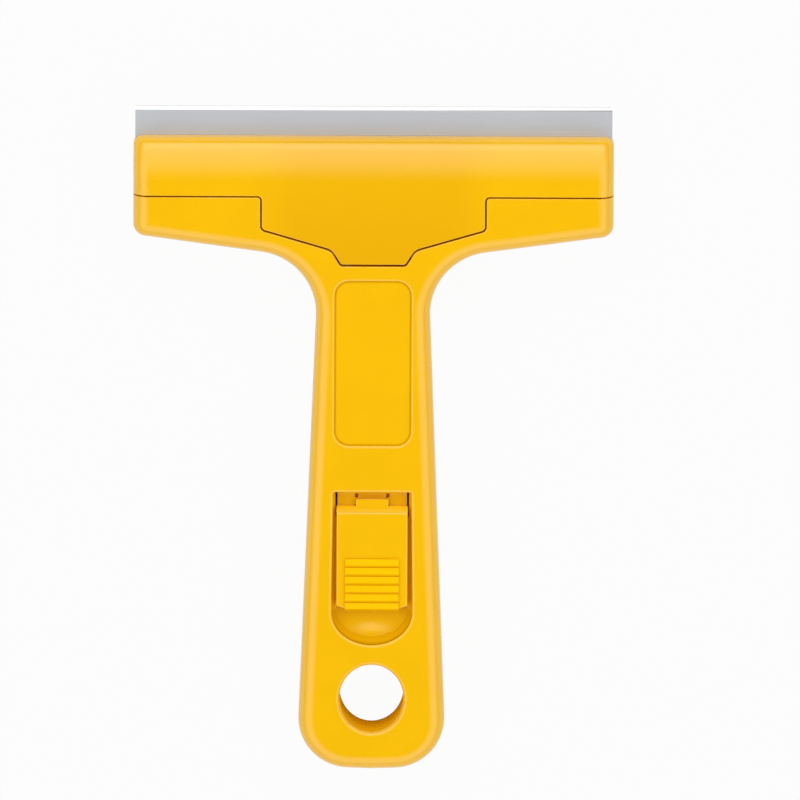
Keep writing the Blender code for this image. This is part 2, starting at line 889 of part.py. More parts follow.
def cam_leg():
    """The leg under the lid, with the cam slot cut through it."""
    half = cam_leg_thickness / 2
    slot = cam_pin_radius + cam_slot_clearance
    path = cam_path()
    low = min(point.y for point in path) - slot - cam_leg_wall
    rear = path[-1].x - slot - cam_leg_wall
    front = path[0].x + slot + cam_leg_wall
    top = cavity_ceiling + join_overlap
    corner = slot + cam_leg_wall
    profile = rounded([(rear, low, corner), (front, low, corner), (front, top, 0), (rear, top, 0)])
    return slab("cam_leg", profile, -half, half, axis="X")


def cam_slot():
    """The cutter of the cam slot."""
    slot = cam_pin_radius + cam_slot_clearance
    half = cam_leg_thickness
    return slab("cam_slot", around_path(cam_path(), slot), -half, half, axis="X")


def lid_cores():
    """The cored pockets between the ribs that press on the blade."""
    inner_width = head_width - 2 * edge_radius
    pitch = inner_width / lid_core_count
    rear = seam_place + seam_gap / 2 + lid_rib_width
    front = head_front - lid_core_inset
    low = lid_underside - cut_overrun
    high = lid_underside + lid_core_depth
    cores = []
    for index in range(lid_core_count):
        start = -inner_width / 2 + pitch * index + lid_rib_width / 2
        cores.append(block("core", (start, rear, low), (start + pitch - lid_rib_width, front, high)))
    return cores


def lid_underside_room():
    """What is taken away under the lid's tongue: everything but its plate and its rim."""
    reach = lid_tongue_width
    rear = hinge_place - lid_length
    under_rim_end = seam_place + seam_gap / 2
    below_rim = block("below_rim", (-reach, rear, 0), (reach, under_rim_end, body_thickness - lid_rim_depth))
    inner = rounded(moved_outwards(lid_outline(), -seam_gap / 2 - lid_rim_width))
    inside_rim = slab("inside_rim", inner, 0, body_thickness - lid_plate)
    front = seam_place - lid_rim_width
    behind_bar = block("behind_bar", (-reach, rear, -cut_overrun), (reach, front, body_thickness))
    return [below_rim, common(inside_rim, behind_bar)]


def cross_rod(name, half_length, radius):
    """A rod across the tool on the lid's hinge line."""
    left = (-half_length, hinge_place, hinge_height)
    right = (half_length, hinge_place, hinge_height)
    return rod(name, left, right, radius)


def clamp_lid():
    """The T-shaped lid, hinged at its tail, that presses the blade on the jaw."""
    limit = [(-seam_gap / 2, lid_underside)] + broken_edge(-seam_gap / 2, -1)
    lid = common(outer_form("clamp_lid"), stacked_slab("lid_limit", lid_outline(), limit))
    lid = cut(lid, *lid_underside_room(), *lid_cores())
    knuckle = cross_rod("knuckle", knuckle_length / 2, knuckle_radius)
    trunnions = cross_rod("trunnions", socket_reach() - trunnion_clearance, trunnion_radius)
    lid = join(lid, knuckle, trunnions, cam_leg())
    lid = cut(lid, cam_slot())
    place = blade_rear_place + blade_hole_inset
    top = jaw_seat_height + peg_height + peg_room_clearance
    radius = blade_hole_radius + peg_room_clearance
    for x in (-blade_hole_spacing / 2, blade_hole_spacing / 2):
        lid = cut(lid, rod("peg_room", (x, place, 0), (x, place, top), radius))
    return finish(lid, yellow_plastic, pivot=(0, hinge_place, hinge_height))


# Blade

def blade():
    """The straight steel blade, ground on top along its front edge."""
    half = blade_width / 2
    corner = blade_corner_radius
    outline = rounded(both_sides([(half, blade_rear_place, corner), (half, tool_length, corner)]))
    steel = slab("blade", outline, blade_underside, blade_top)
    fall = (blade_thickness - blade_edge_land) / blade_bevel
    start = tool_length - blade_bevel
    end = tool_length + cut_overrun
    above = blade_top + cut_overrun
    ground = [(start, blade_top), (end, blade_top - fall * (end - start)), (end, above), (start, above)]
    steel = cut(steel, slab("grinding", ground, -head_half, head_half, axis="X"))
    place = blade_rear_place + blade_hole_inset
    for x in (-blade_hole_spacing / 2, blade_hole_spacing / 2):
        hole = rod("blade_hole", (x, place, 0), (x, place, body_thickness), blade_hole_radius)
        steel = cut(steel, hole)
    return finish(steel, blade_steel)


# Thumb slider and its drive

def rib_profile():
    """Side profile of the grip ribs: each rises towards the hanging end, then drops steeply."""
    root = button_top - join_overlap
    crest = button_top + rib_height
    shoulder = button_top + rib_height * rib_crest_share
    face = rib_pitch * (1 - rib_crest_share)
    profile = [(button_rear_place + rib_field_inset, root)]
    for index in range(rib_count):
        rear = button_rear_place + rib_pitch * index
        valley = button_top if index else button_top - button_edge_radius
        profile.append((rear, valley))
        profile.append((rear + face / 2, shoulder))
        profile.append((rear + face, crest))
        profile.append((rear + rib_pitch * (1 - rib_shoulder_share), shoulder))
    end = button_rear_place + rib_field_length
    return profile + [(end, button_top), (end, root)]


def button_plate():
    """The slider's plate, with cut rear corners and a ramp at its front end."""
    rear = button_rear_place + button_rear_step
    front = button_crest_place + button_ramp
    corners = both_sides([
        (button_corner_width / 2, rear, 0),
        (button_half, rear + button_corner_cut, 0),
        (button_half, front, 0),
    ])
    edge = button_edge_radius
    plate = filleted_slab("slide_button", corners, button_underside, button_top, edge, low_edge=False)
    above = button_top + cut_overrun
    ramp = [
        (button_crest_place, button_top),
        (front + cut_overrun, button_top - button_ramp - cut_overrun),
        (front + cut_overrun, above),
        (button_crest_place - cut_overrun, above),
    ]
    return cut(plate, slab("ramp", ramp, -button_width, button_width, axis="X"))


def slide_button():
    """The thumb slider: plate, grip ribs, locking tongue and the stem down to the bar."""
    ribs = slab("ribs", rib_profile(), -rib_field_width / 2, rib_field_width / 2, axis="X")
    half = tongue_width / 2
    rear = button_crest_place - button_ramp
    front = button_crest_place + button_ramp + tongue_reach
    tongue = block("tongue", (-half, rear, button_underside), (half, front, button_top - tongue_drop))
    half = stem_width / 2
    rear = button_screw_place - stem_length / 2
    front = button_screw_place + stem_length / 2
    low = bar_top + button_clearance
    stem = block("stem", (-half, rear, low), (half, front, button_underside + join_overlap))
    button = join(button_plate(), ribs, tongue, stem)
    end = (0, button_screw_place, button_top - button_ramp)
    pilot = rod("pilot", (0, button_screw_place, 0), end, screw_radius + screw_hole_clearance)
    return finish(cut(button, pilot), yellow_plastic, pivot=(0, button_screw_place, bar_top))


def cam_bar():
    """The bar under the slider, forked at its front round the lid's cam leg."""
    half = bar_width / 2
    front = cam_pin_place + bar_height / 2
    profile = rounded([
        (bar_rear_place, bar_underside, 0),
        (front, bar_underside, bar_nose_radius),
        (front, bar_top, bar_nose_radius),
        (bar_rear_place, bar_top, 0),
    ])
    bar = slab("cam_bar", profile, -half, half, axis="X")
    gap = cam_leg_thickness / 2 + fork_clearance
    fork = block("fork", (-gap, cam_pin_place - fork_length, 0), (gap, head_front, body_thickness))
    left = (-half - cut_overrun, cam_pin_place, cam_pin_height)
    right = (half + cut_overrun, cam_pin_place, cam_pin_height)
    pin_hole = rod("pin_hole", left, right, cam_pin_radius + trunnion_clearance)
    foot = (0, button_screw_place, 0)
    shank_end = (0, button_screw_place, body_thickness)
    shank = rod("shank_hole", foot, shank_end, screw_radius + screw_hole_clearance)
    head_top = bar_underside + button_screw_sink + screw_head_height + screw_head_clearance
    head_end = (0, button_screw_place, head_top)
    head_room = rod("head_room", foot, head_end, screw_head_radius + screw_head_clearance)
    bar = cut(bar, fork, pin_hole, shank, head_room, *detent_notches())
    return finish(bar, yellow_plastic, pivot=(0, cam_pin_place, cam_pin_height))


def detent_notches():
    """The bar's two notches for the spring's bump: one locked, one drawn back by the slider's travel."""
    half = spring_width / 2 + guide_gap
    half_length = detent_length / 2 + guide_gap
    top = bar_underside + detent_rise
    notches = []
    for travel in (0, slider_travel):
        place = spring_bump_place() + travel
        low_corner = (-half, place - half_length, 0)
        notches.append(block("detent_notch", low_corner, (half, place + half_length, top)))
    return notches


def cam_pin():
    """The steel cross pin that lifts and draws down the lid."""
    half = bar_width / 2
    pin = rod("cam_pin", (-half, cam_pin_place, cam_pin_height), (half, cam_pin_place, cam_pin_height),
              cam_pin_radius)
    return finish(pin, bright_steel, pivot=(0, cam_pin_place, cam_pin_height))


def spring_bump_place():
    """Where the bump of the detent spring meets the bar."""
    return spring_place + spring_length - detent_length


def detent_spring():
    """The leaf spring: a flat foot, a rising leaf and a bump that sits in the bar's notch."""
    low = base_wall + spring_seat + guide_gap
    leaf_top = bar_underside - guide_gap - spring_strip
    foot_end = spring_place + spring_foot_length
    bump = spring_bump_place()
    half_bump = detent_length / 2
    half_crest = half_bump * detent_crest_share
    line = [
        (spring_place, low),
        (foot_end, low),
        (bump - half_bump, leaf_top),
        (bump - half_crest, leaf_top + detent_rise),
        (bump + half_crest, leaf_top + detent_rise),
        (bump + half_bump, leaf_top),
        (spring_place + spring_length, leaf_top - spring_strip),
    ]
    upper = [(y, z + spring_strip) for y, z in reversed(line)]
    leaf = slab("detent_spring", line + upper, -spring_width / 2, spring_width / 2, axis="X")
    return finish(leaf, bright_steel)


# Screws

def screw(name, x, y, head_low, tip):
    """A pan-head screw that points up, with a cross recess in its head."""
    head_top = head_low + screw_head_height
    profile = [
        (0, tip),
        (screw_tip_radius, tip),
        (screw_radius, tip - screw_radius),
        (screw_radius, head_top),
        (screw_head_radius, head_top),
        (screw_head_radius, head_low + screw_head_chamfer),
        (screw_head_radius - screw_head_chamfer, head_low),
        (0, head_low),
    ]
    made = turned(name, profile, x, y, steps=screw_sides)
    half = screw_recess_width / 2
    reach = screw_recess_length / 2
    low = head_low - cut_overrun
    high = head_low + screw_recess_depth
    for across, along in ((half, reach), (reach, half)):
        slot = block("recess", (x - across, y - along, low), (x + across, y + along, high))
        made = cut(made, slot)
    return finish(made, bright_steel, pivot=(x, y, head_low))


def build_scraper():
    """All the pieces, in the order in which they go together."""
    base_shell()
    detent_spring()
    cam_bar()
    cam_pin()
    button_screw_tip = button_top - button_ramp - screw_hole_clearance
    screw("button_screw", 0, button_screw_place, bar_underside + button_screw_sink, button_screw_tip)
    slide_button()
    clamp_lid()
    blade()
    handle_shell()
    for index, (x, y, tip) in enumerate(screw_places(), start=1):
        screw("shell_screw_" + str(index), x, y, screw_head_sink, tip)


for old in list(bpy.data.objects):
    bpy.data.objects.remove(old, do_unlink=True)

scraper_parts = bpy.data.collections.new("cleaning_scraper")
bpy.context.scene.collection.children.link(scraper_parts)
scraper_frame = bpy.data.objects.new("scraper_frame", None)
scraper_frame.location = (0, -tool_length / 2, 0)
scraper_parts.objects.link(scraper_frame)

yellow_plastic = finish_material("yellow_plastic", (0.93, 0.50, 0.012), 0.38, 0.0)
blade_steel = finish_material("blade_steel", (0.52, 0.52, 0.54), 0.30, 1.0)
bright_steel = finish_material("bright_steel", (0.62, 0.62, 0.63), 0.28, 1.0)

build_scraper()
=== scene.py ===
import math

import bmesh
import bpy
from mathutils import Matrix, Vector


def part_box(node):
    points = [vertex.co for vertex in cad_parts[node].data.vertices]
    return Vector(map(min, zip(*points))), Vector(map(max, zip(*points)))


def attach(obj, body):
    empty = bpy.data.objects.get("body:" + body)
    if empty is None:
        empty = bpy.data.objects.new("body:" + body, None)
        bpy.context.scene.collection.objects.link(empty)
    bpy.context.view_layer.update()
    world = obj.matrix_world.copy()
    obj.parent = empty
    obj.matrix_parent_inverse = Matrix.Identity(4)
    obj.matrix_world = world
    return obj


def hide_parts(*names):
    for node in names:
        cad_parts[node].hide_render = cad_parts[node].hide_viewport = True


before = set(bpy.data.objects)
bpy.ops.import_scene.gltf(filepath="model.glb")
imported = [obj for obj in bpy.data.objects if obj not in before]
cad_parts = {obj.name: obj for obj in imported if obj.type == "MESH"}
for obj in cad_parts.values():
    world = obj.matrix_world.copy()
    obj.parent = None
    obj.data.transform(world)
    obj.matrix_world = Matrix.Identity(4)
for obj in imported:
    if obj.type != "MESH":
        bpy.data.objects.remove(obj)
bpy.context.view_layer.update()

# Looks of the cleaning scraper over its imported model. Places along the tool are measured from
# its hanging end, as on the drawing, and all sizes are in metres.
hanging_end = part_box("handle_shell")[0].y


# Back shell: the rear half of the handle, with the jaw that the blade lies on. It is an
# injection moulding in yellow ABS with a satin skin, and five screws from behind hold it to
# the front shell.
head_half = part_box("handle_shell")[1].x
head_front = 0.1344
body_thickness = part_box("handle_shell")[1].z
arm_corner_place = 0.1138
arm_slope = math.radians(7.75)
neck_half = 0.01195
neck_place = 0.0955
end_half = 0.0152
end_place = 0.0125
end_crown_rise = 0.0009
end_crown_radius = 0.0750
end_corner_radius = 0.0106
neck_corner_radius = 0.0132
arm_corner_radius = 0.0027
front_corner_radius = 0.0020
edge_radius = 0.0035
nose_arc_radius = 0.0180
nose_slope = math.radians(26)
lip_radius = 0.00285
nose_lift = 0.00002
jaw_seat_height = 0.0058
jaw_root_place = 0.1219
base_wall = 0.0018
side_wall = 0.0024
parting_round = 0.00012
hole_place = 0.0155
hole_half_width = 0.0067
hole_half_length = 0.0072
hole_rim = 0.0008
hole_wall = 0.0018
peg_place = 0.1280
peg_spacing = 0.0560
peg_radius = 0.0020
peg_tip_radius = 0.0014
peg_tip = 0.0074
peg_cone = 0.0009
screw_places = [(-0.0360, 0.1184), (0.0360, 0.1184), (-0.0067, 0.0645), (0.0067, 0.0645),
                (0, 0.0288)]
screw_head_room = 0.0021
screw_head_seat = 0.0016
screw_sink_rim = 0.0002
screw_shank_radius = 0.00125
boss_radius = 0.0023
beyond = 0.0010
overlap = 0.0004
on_wall = 0.0001
smallest_radius = 0.00002
smallest_change = 1e-12
arc_step = math.radians(5)
round_steps = 12
nose_steps = 24
lip_steps = 14
crease_angle = math.radians(32)

yellow = (0.962, 0.53, 0.001)
mottle_shares = (0.985, 0.975, 0.94)
satin_roughness = 0.16
satin_shine = 0.8
# The core yellow is a shade darker than the outer yellow: painted shade on the matt walls of
# hollows.
core_yellow_painted_shade = (0.92, 0.50, 0.001)
core_roughness = 0.6


def crossing(a, b, c, d):
    """Where the line through a and b crosses the line through c and d."""
    ab = Vector(b) - Vector(a)
    cd = Vector(d) - Vector(c)
    return Vector(a) + ab * ((Vector(c) - Vector(a)).cross(cd) / ab.cross(cd))


def both_sides(right_half):
    """Corners (x, y, radius) of a symmetric outline, from those on its right side."""
    return right_half + [(-x, y, radius) for x, y, radius in reversed(right_half) if x > 0]


def grown(corners, distance):
    """The corners after each side of the outline has moved outwards."""
    sides = []
    for corner, following in zip(corners, corners[1:] + corners[:1]):
        along = (Vector(following[:2]) - Vector(corner[:2])).normalized()
        shift = Vector((along.y, -along.x)) * distance
        sides.append((Vector(corner[:2]) + shift, Vector(following[:2]) + shift, along))
    moved = []
    for before, after, corner in zip(sides[-1:] + sides[:-1], sides, corners):
        place = crossing(*before[:2], *after[:2])
        turn = math.copysign(distance, before[2].cross(after[2]) * distance)
        radius = max(corner[2] + turn, smallest_radius) if corner[2] else 0
        moved.append((place.x, place.y, radius))
    return moved


def rounded(corners):
    """Points of an outline with its corners rounded by arcs."""
    points = []
    for index, (x, y, radius) in enumerate(corners):
        corner = Vector((x, y))
        if not radius:
            points.append(corner)
            continue
        back = (Vector(corners[index - 1][:2]) - corner).normalized()
        ahead = (Vector(corners[(index + 1) % len(corners)][:2]) - corner).normalized()
        half_angle = back.angle(ahead) / 2
        turn = math.pi - 2 * half_angle
        steps = 2 * max(1, math.ceil(round(turn / arc_step / 2, 3)))
        centre = corner + (back + ahead).normalized() * radius / math.sin(half_angle)
        start = corner + back * radius / math.tan(half_angle) - centre
        side = math.copysign(1, ahead.cross(back))
        for step in range(steps + 1):
            points.append(centre + Matrix.Rotation(side * turn * step / steps, 2) @ start)
    return points


def loft(name, rings, fill_first=None):
    """A closed solid through rings of points, with a flat face on each end.

    fill_first, where it is given, closes the first ring in its own way instead.
    """
    edit = bmesh.new()
    loops = [[edit.verts.new(point) for point in ring] for ring in rings]
    for below, above in zip(loops, loops[1:]):
        for index in range(len(below)):
            edit.faces.new((below[index - 1], below[index], above[index], above[index - 1]))
    if fill_first:
        fill_first(edit, loops[0])
    else:
        edit.faces.new(reversed(loops[0]))
    edit.faces.new(loops[-1])
    bmesh.ops.recalc_face_normals(edit, faces=edit.faces)
    mesh = bpy.data.meshes.new(name)
    edit.to_mesh(mesh)
    edit.free()
    solid = bpy.data.objects.new(name, mesh)
    bpy.context.scene.collection.objects.link(solid)
    return solid


def prism(name, corners, levels):
    """An outline carried upwards through levels of (growth, height)."""
    return loft(name, [[(*point, height) for point in rounded(grown(corners, growth))]
                       for growth, height in levels])


def side_prism(name, profile, low, high):
    """A side profile of (y, z) points carried across the tool."""
    return loft(name, [[(x, y, z) for y, z in profile] for x in (low, high)])


def block(name, low, high):
    """A plain box between two corners, to cut or join with."""
    corners = [(low[0], low[1], 0), (high[0], low[1], 0),
               (high[0], high[1], 0), (low[0], high[1], 0)]
    return prism(name, corners, [(0, low[2]), (0, high[2])])


def turned(name, x, y, profile, stretch=1.0, steps=72):
    """A profile of (radius, height) points, low to high, turned about an upright axis."""
    angles = [2 * math.pi * step / steps for step in range(steps)]
    return loft(name, [[(x + radius * math.cos(a), y + radius * stretch * math.sin(a), height)
                        for a in angles] for radius, height in profile])


def upper_round(height, radius, way=-1):
    """Levels of a rounded upper edge: way is -1 on a solid, and 1 on a cutter that leaves one."""
    angles = [math.pi / 2 * step / round_steps for step in range(round_steps + 1)]
    return [(way * radius * (1 - math.cos(a)), height - radius * (1 - math.sin(a)))
            for a in angles]


def lower_round(height, radius, way=-1):
    """Levels of a rounded lower edge, from the bottom up."""
    return [(growth, 2 * height - level)
            for growth, level in reversed(upper_round(height, radius, way))]


def closed_volume(solid):
    """Volume of a solid as its modifiers leave it, or nothing where an edge is open."""
    edit = bmesh.new()
    edit.from_object(solid, bpy.context.evaluated_depsgraph_get())
    closed = all(edge.is_manifold for edge in edit.edges)
    volume = edit.calc_volume() if closed else 0
    edit.free()
    return volume


def combined(solid, tool, operation):
    """A solid after one cut, join or overlap, by whichever solver leaves it whole."""
    before = closed_volume(solid)
    change = solid.modifiers.new(operation, "BOOLEAN")
    change.operation = operation
    change.solver = "EXACT"
    change.object = tool
    after = closed_volume(solid)
    if not after or abs(after - before) < smallest_change:
        change.solver = "MANIFOLD"
    graph = bpy.context.evaluated_depsgraph_get()
    mesh = bpy.data.meshes.new_from_object(solid.evaluated_get(graph))
    solid.modifiers.clear()
    solid.data = mesh
    bpy.data.objects.remove(tool)
    return solid


def cut(solid, *tools):
    """Cut each tool out of a solid."""
    for tool in tools:
        combined(solid, tool, "DIFFERENCE")
    return solid


def join(solid, *tools):
    """Fuse each tool to a solid."""
    for tool in tools:
        combined(solid, tool, "UNION")
    return solid


def tool_outline():
    """Corners of the whole handle and head, seen from above."""
    crown_drop = end_crown_radius * (math.hypot(1, end_crown_rise / end_half) - 1)
    crown_top = (0, -crown_drop)
    crown_end = (end_half, end_crown_rise - crown_drop)
    neck = (neck_half, neck_place)
    widest = (end_half, end_place)
    arm_root = (0, arm_corner_place - head_half * math.tan(arm_slope))
    arm_corner = (head_half, arm_corner_place)
    return both_sides([
        (*crown_top, end_crown_radius),
        (*crossing(neck, widest, crown_top, crown_end), end_corner_radius),
        (*crossing(neck, widest, arm_root, arm_corner), neck_corner_radius),
        (*arm_corner, arm_corner_radius),
        (head_half, head_front, front_corner_radius),
    ])


def nose_cutter(name, upside_down=False):
    """All above the head's convex nose, or below it, with the side fillets carried along it."""
    lip_place = head_front + nose_lift - lip_radius
    level = body_thickness + nose_lift - nose_arc_radius
    lip_level = level + (nose_arc_radius - lip_radius) * math.cos(nose_slope)
    start = lip_place - (nose_arc_radius - lip_radius) * math.sin(nose_slope)
    broad = [nose_slope * step / nose_steps for step in range(nose_steps + 1)]
    tight = [nose_slope + (math.pi / 2 - nose_slope) * step / lip_steps
             for step in range(1, lip_steps + 1)]
    profile = [(start + nose_arc_radius * math.sin(a), level + nose_arc_radius * math.cos(a))
               for a in broad]
    profile += [(lip_place + lip_radius * math.sin(a), lip_level + lip_radius * math.cos(a))
                for a in tight]
    profile.append((head_front + edge_radius, lip_level))
    centre = head_half + nose_lift - edge_radius
    angles = [math.pi / 2 * step / round_steps for step in range(round_steps + 1)]
    fillet = [(centre + edge_radius * math.sin(a), edge_radius * (math.cos(a) - 1))
              for a in angles]
    reach = head_half + beyond
    rings = []
    for y, z in profile:
        right = [(x, z + drop) for x, drop in fillet]
        right += [(reach, z - edge_radius), (reach, body_thickness + beyond)]
        section = right + [(-x, height) for x, height in reversed(right)]
        if upside_down:
            section = [(x, body_thickness - height) for x, height in section]
        rings.append([(x, y, height) for x, height in section])
    return loft(name, rings)


def bore_solid(name, levels, margin=0.0):
    """The oval of the hanging hole, wider by a margin, through levels of (growth, height)."""
    radius = hole_half_width + margin
    stretch = (hole_half_length + margin) / radius
    profile = [(radius + growth, height) for growth, height in levels]
    return turned(name, 0, hole_place, profile, stretch, steps=96)


def finished(piece, material):
    """Move a piece to its place, give it its material and shade its round faces smooth."""
    piece.data.transform(Matrix.Translation((0, hanging_end, 0)))
    piece.data.materials.clear()
    piece.data.materials.append(material)
    piece.data.shade_smooth()
    piece.data.set_sharp_from_angle(angle=crease_angle)
    weighted = piece.modifiers.new("even_shading", "WEIGHTED_NORMAL")
    weighted.keep_sharp = True
    weighted.weight = 80
    return piece


class Wire:
    """An output socket of a material, with the arithmetic that the finishes are written in."""

    def __init__(self, tree, socket=None):
        self.tree = tree
        self.socket = socket

    def node(self, kind, settings=None, values=None, output=0):
        """Add a node: its settings first, then the values or links of its sockets."""
        made = self.tree.nodes.new(kind)
        for setting, value in (settings or {}).items():
            if setting == "stops":
                ramp = made.color_ramp
                while len(ramp.elements) < len(value):
                    ramp.elements.new(1.0)
                for element, (place, colour) in zip(ramp.elements, value):
                    element.position = place
                    element.color = (*colour, 1.0)
            else:
                setattr(made, setting, value)
        for name, value in (values or {}).items():
            if isinstance(value, Wire):
                self.tree.links.new(value.socket, made.inputs[name])
            else:
                made.inputs[name].default_value = value
        return Wire(self.tree, made.outputs[output])

    def output(self, name):
        """Another output of the node that this one comes from."""
        return Wire(self.tree, self.socket.node.outputs[name])

    def maths(self, operation, first, second=0.0):
        return self.node("ShaderNodeMath", {"operation": operation}, {0: first, 1: second})

    def __add__(self, other):
        return self.maths("ADD", self, other)

    def __sub__(self, other):
        return self.maths("SUBTRACT", self, other)

    def __rsub__(self, other):
        return self.maths("SUBTRACT", other, self)

    def __mul__(self, other):
        return self.maths("MULTIPLY", self, other)

    __radd__ = __add__
    __rmul__ = __mul__

    def __abs__(self):
        return self.maths("ABSOLUTE", self)

    def axis(self, name):
        """One axis of a place."""
        return self.node("ShaderNodeSeparateXYZ", {}, {0: self}, name)

    def noise(self, scale, detail):
        """Noise between 0 and 1 over a place."""
        values = {"Vector": self, "Scale": scale, "Detail": detail}
        return self.node("ShaderNodeTexNoise", {}, values, "Fac")

    def relief(self, strength, depth):
        """A bumped surface of which this is the height."""
        values = {"Strength": strength, "Distance": depth, "Height": self}
        return self.node("ShaderNodeBump", {}, values)

    def between(self, low, high):
        """0 below low and 1 above high, with a soft step between them."""
        return self.node("ShaderNodeMapRange", {"interpolation_type": "SMOOTHSTEP"},
                         {"Value": self, "From Min": low, "From Max": high})

    def blend(self, first, second):
        """The first colour where this is 0 and the second where it is 1."""
        first, second = ((*colour, 1.0) if isinstance(colour, tuple) else colour
                         for colour in (first, second))
        values = {0: self, 6: first, 7: second}
        return self.node("ShaderNodeMix", {"data_type": "RGBA"}, values, output=2)

    def feed(self, shader, name):
        """Link this to a socket of a shader."""
        self.tree.links.new(self.socket, shader.inputs[name])


def new_finish(name):
    """A new material, with its shader and a wire to start from."""
    material = bpy.data.materials.new(name)
    material.use_nodes = True
    return material, material.node_tree.nodes["Principled BSDF"], Wire(material.node_tree)


def moulded_plastic(name, tone=yellow, roughness=satin_roughness, shine=satin_shine, tint=None):
    """Satin yellow ABS: faint flow mottle, a fine skin in the gloss, and handling marks.

    tint, where it is given, takes the place and the colour so far and returns another colour.
    """
    material, shader, start = new_finish(name)
    place = start.node("ShaderNodeTexCoord", output="Object")
    mottle = place.noise(scale=90.0, detail=3.0)
    skin = place.noise(scale=2600.0, detail=2.0)
    marks = place.noise(scale=320.0, detail=5.0)
    deep_tone = tuple(channel * share for channel, share in zip(tone, mottle_shares))
    colour = mottle.between(0.35, 0.65).blend(deep_tone, tone)
    if tint:
        colour = tint(place, colour)
    colour.feed(shader, "Base Color")
    (roughness + 0.04 * marks + 0.02 * skin).feed(shader, "Roughness")
    skin.relief(strength=0.10, depth=0.00002).feed(shader, "Normal")
    shader.inputs["Specular IOR Level"].default_value = shine
    return material


def in_bore(x, place):
    """Whether a place is inside the hanging hole or on its wall."""
    stretched = (place - hole_place) * hole_half_width / hole_half_length
    return math.hypot(x, stretched) < hole_half_width + on_wall


def dull_recesses(piece, name, recessed, tone=core_yellow_painted_shade, tint=None):
    """Give some faces, such as recesses, the duller skin that mould cores leave, in a tone of
    painted shade unless another is given.
    """
    piece.data.materials.append(moulded_plastic(name, tone, core_roughness, 0.0, tint))
    for face in piece.data.polygons:
        x, y, z = face.center
        if recessed(x, y - hanging_end, z, face.normal.z):
            face.material_index = len(piece.data.materials) - 1


def back_bore(x, place, z, upward):
    """Whether a face of the back shell is on the wall of the hanging hole."""
    return z > hole_rim and in_bore(x, place)


back_levels = lower_round(0, edge_radius) + upper_round(jaw_seat_height, parting_round)
back_shell = prism("back_shell", tool_outline(), back_levels)
cut(back_shell, nose_cutter("under_nose", upside_down=True))
cavity_levels = [(0, base_wall), (0, body_thickness)]
cavity = prism("cavity", grown(tool_outline(), -side_wall), cavity_levels)
cut(cavity, block("jaw", (-head_half, jaw_root_place, 0), (head_half, head_front, body_thickness)))
cut(back_shell, cavity)
inside_back = [(0, base_wall - overlap), (0, jaw_seat_height)]
join(back_shell, bore_solid("collar", inside_back, hole_wall))
peg = [(peg_radius, jaw_seat_height - overlap), (peg_radius, peg_tip - peg_cone),
       (peg_tip_radius, peg_tip)]
for side in (-1, 1):
    join(back_shell, turned("peg", side * peg_spacing / 2, peg_place, peg))
boss = [(boss_radius, base_wall - overlap), (boss_radius, jaw_seat_height)]
sink = [(screw_head_room + growth, height)
        for growth, height in lower_round(0, screw_sink_rim, 1)]
sink = [(sink[0][0], -beyond)] + sink + [(screw_head_room, screw_head_seat)]
shank = [(screw_shank_radius, 0), (screw_shank_radius, body_thickness)]
for x, y in screw_places:
    join(back_shell, turned("boss", x, y, boss, steps=40))
    cut(back_shell, turned("head_sink", x, y, sink, steps=48))
    cut(back_shell, turned("shank_hole", x, y, shank, steps=32))
hole_levels = lower_round(0, hole_rim, 1) + upper_round(body_thickness, hole_rim, 1)
hole_levels = [(hole_rim, -beyond)] + hole_levels + [(hole_rim, body_thickness + beyond)]
cut(back_shell, bore_solid("hanging_hole", hole_levels))
finished(back_shell, moulded_plastic("back_shell_plastic"))
# The hole's wall gets the matt core skin, in the darker core yellow of painted shade.
dull_recesses(back_shell, "back_bore_plastic", back_bore)
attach(back_shell, "handle")
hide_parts("base_shell")


# Front shell: the half that the hand sees, with the T-shaped opening for the lid, the bare
# recessed panel, the slider's pocket with its thumb dish, and the hanging hole. It is
# moulded like the back shell, with all its visible edges slightly rounded.
shell_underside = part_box("handle_shell")[0].z
ceiling = 0.0103
seam_gap = 0.00030
seam_round = 0.00020
swing_gap = 0.00038
tail_gap = 0.00044
opening_wall = 0.0017
lid_rear_place = 0.1079
lid_waist_place = 0.1111
lid_shoulder_place = 0.1154
seam_place = 0.1224
lid_tail_half = 0.00675
lid_waist_half = 0.00875
lid_shoulder_half = 0.0234
lid_tail_radius = 0.0009
lid_waist_radius = 0.0028
lid_shoulder_radius = 0.0011
lid_arm_radius = 0.0008
panel_half = 0.0080
panel_rear = 0.0695
panel_front = 0.1046
panel_corner_radius = 0.0031
panel_depth = 0.0005
panel_foot = 0.0002
panel_rim = 0.0003
panel_spread = 2.2
pocket_half = 0.0084
pocket_front_half = 0.00815
pocket_front = 0.0596
pocket_shoulder = 0.0340
pocket_rear = 0.0270
pocket_corner_radius = 0.0004
pocket_depth = 0.0026
pocket_wall = 0.0016
pocket_fillet = 0.0010
pocket_rear_fillet = 0.0014
rear_fillet_place = 0.0313
rear_fillet_run = 0.0023
pocket_rim = 0.00045
rim_spread = 1.6
dish_depth = 0.0029
dish_run = 0.0040
dish_front = 0.0319
dish_slope_run = 0.0029
dish_rise = 0.00055
dish_spread = 0.0036
ellipse_steps = 40
floor_columns = 20
tub_roof = body_thickness - pocket_depth - pocket_wall
above_floor = body_thickness - pocket_depth + overlap * 2
corner_slot_sides = (0.00725, 0.00768)
corner_slot_run = (0.0538, 0.0592)
notch_sides = (0.0029, 0.0036)
notch_run = (0.0580, 0.0589)
notch_depth = 0.0020
stem_slot_half = 0.0036
stem_slot_run = (0.0394, 0.0566)
bar_pass_half = 0.0042
bar_pass_front = 0.1102
bar_pass_roof = 0.0068
recess_wall_upward = 0.97
panel_wall_upward = 0.997
dish_wall_top = body_thickness - 0.7 * pocket_rim

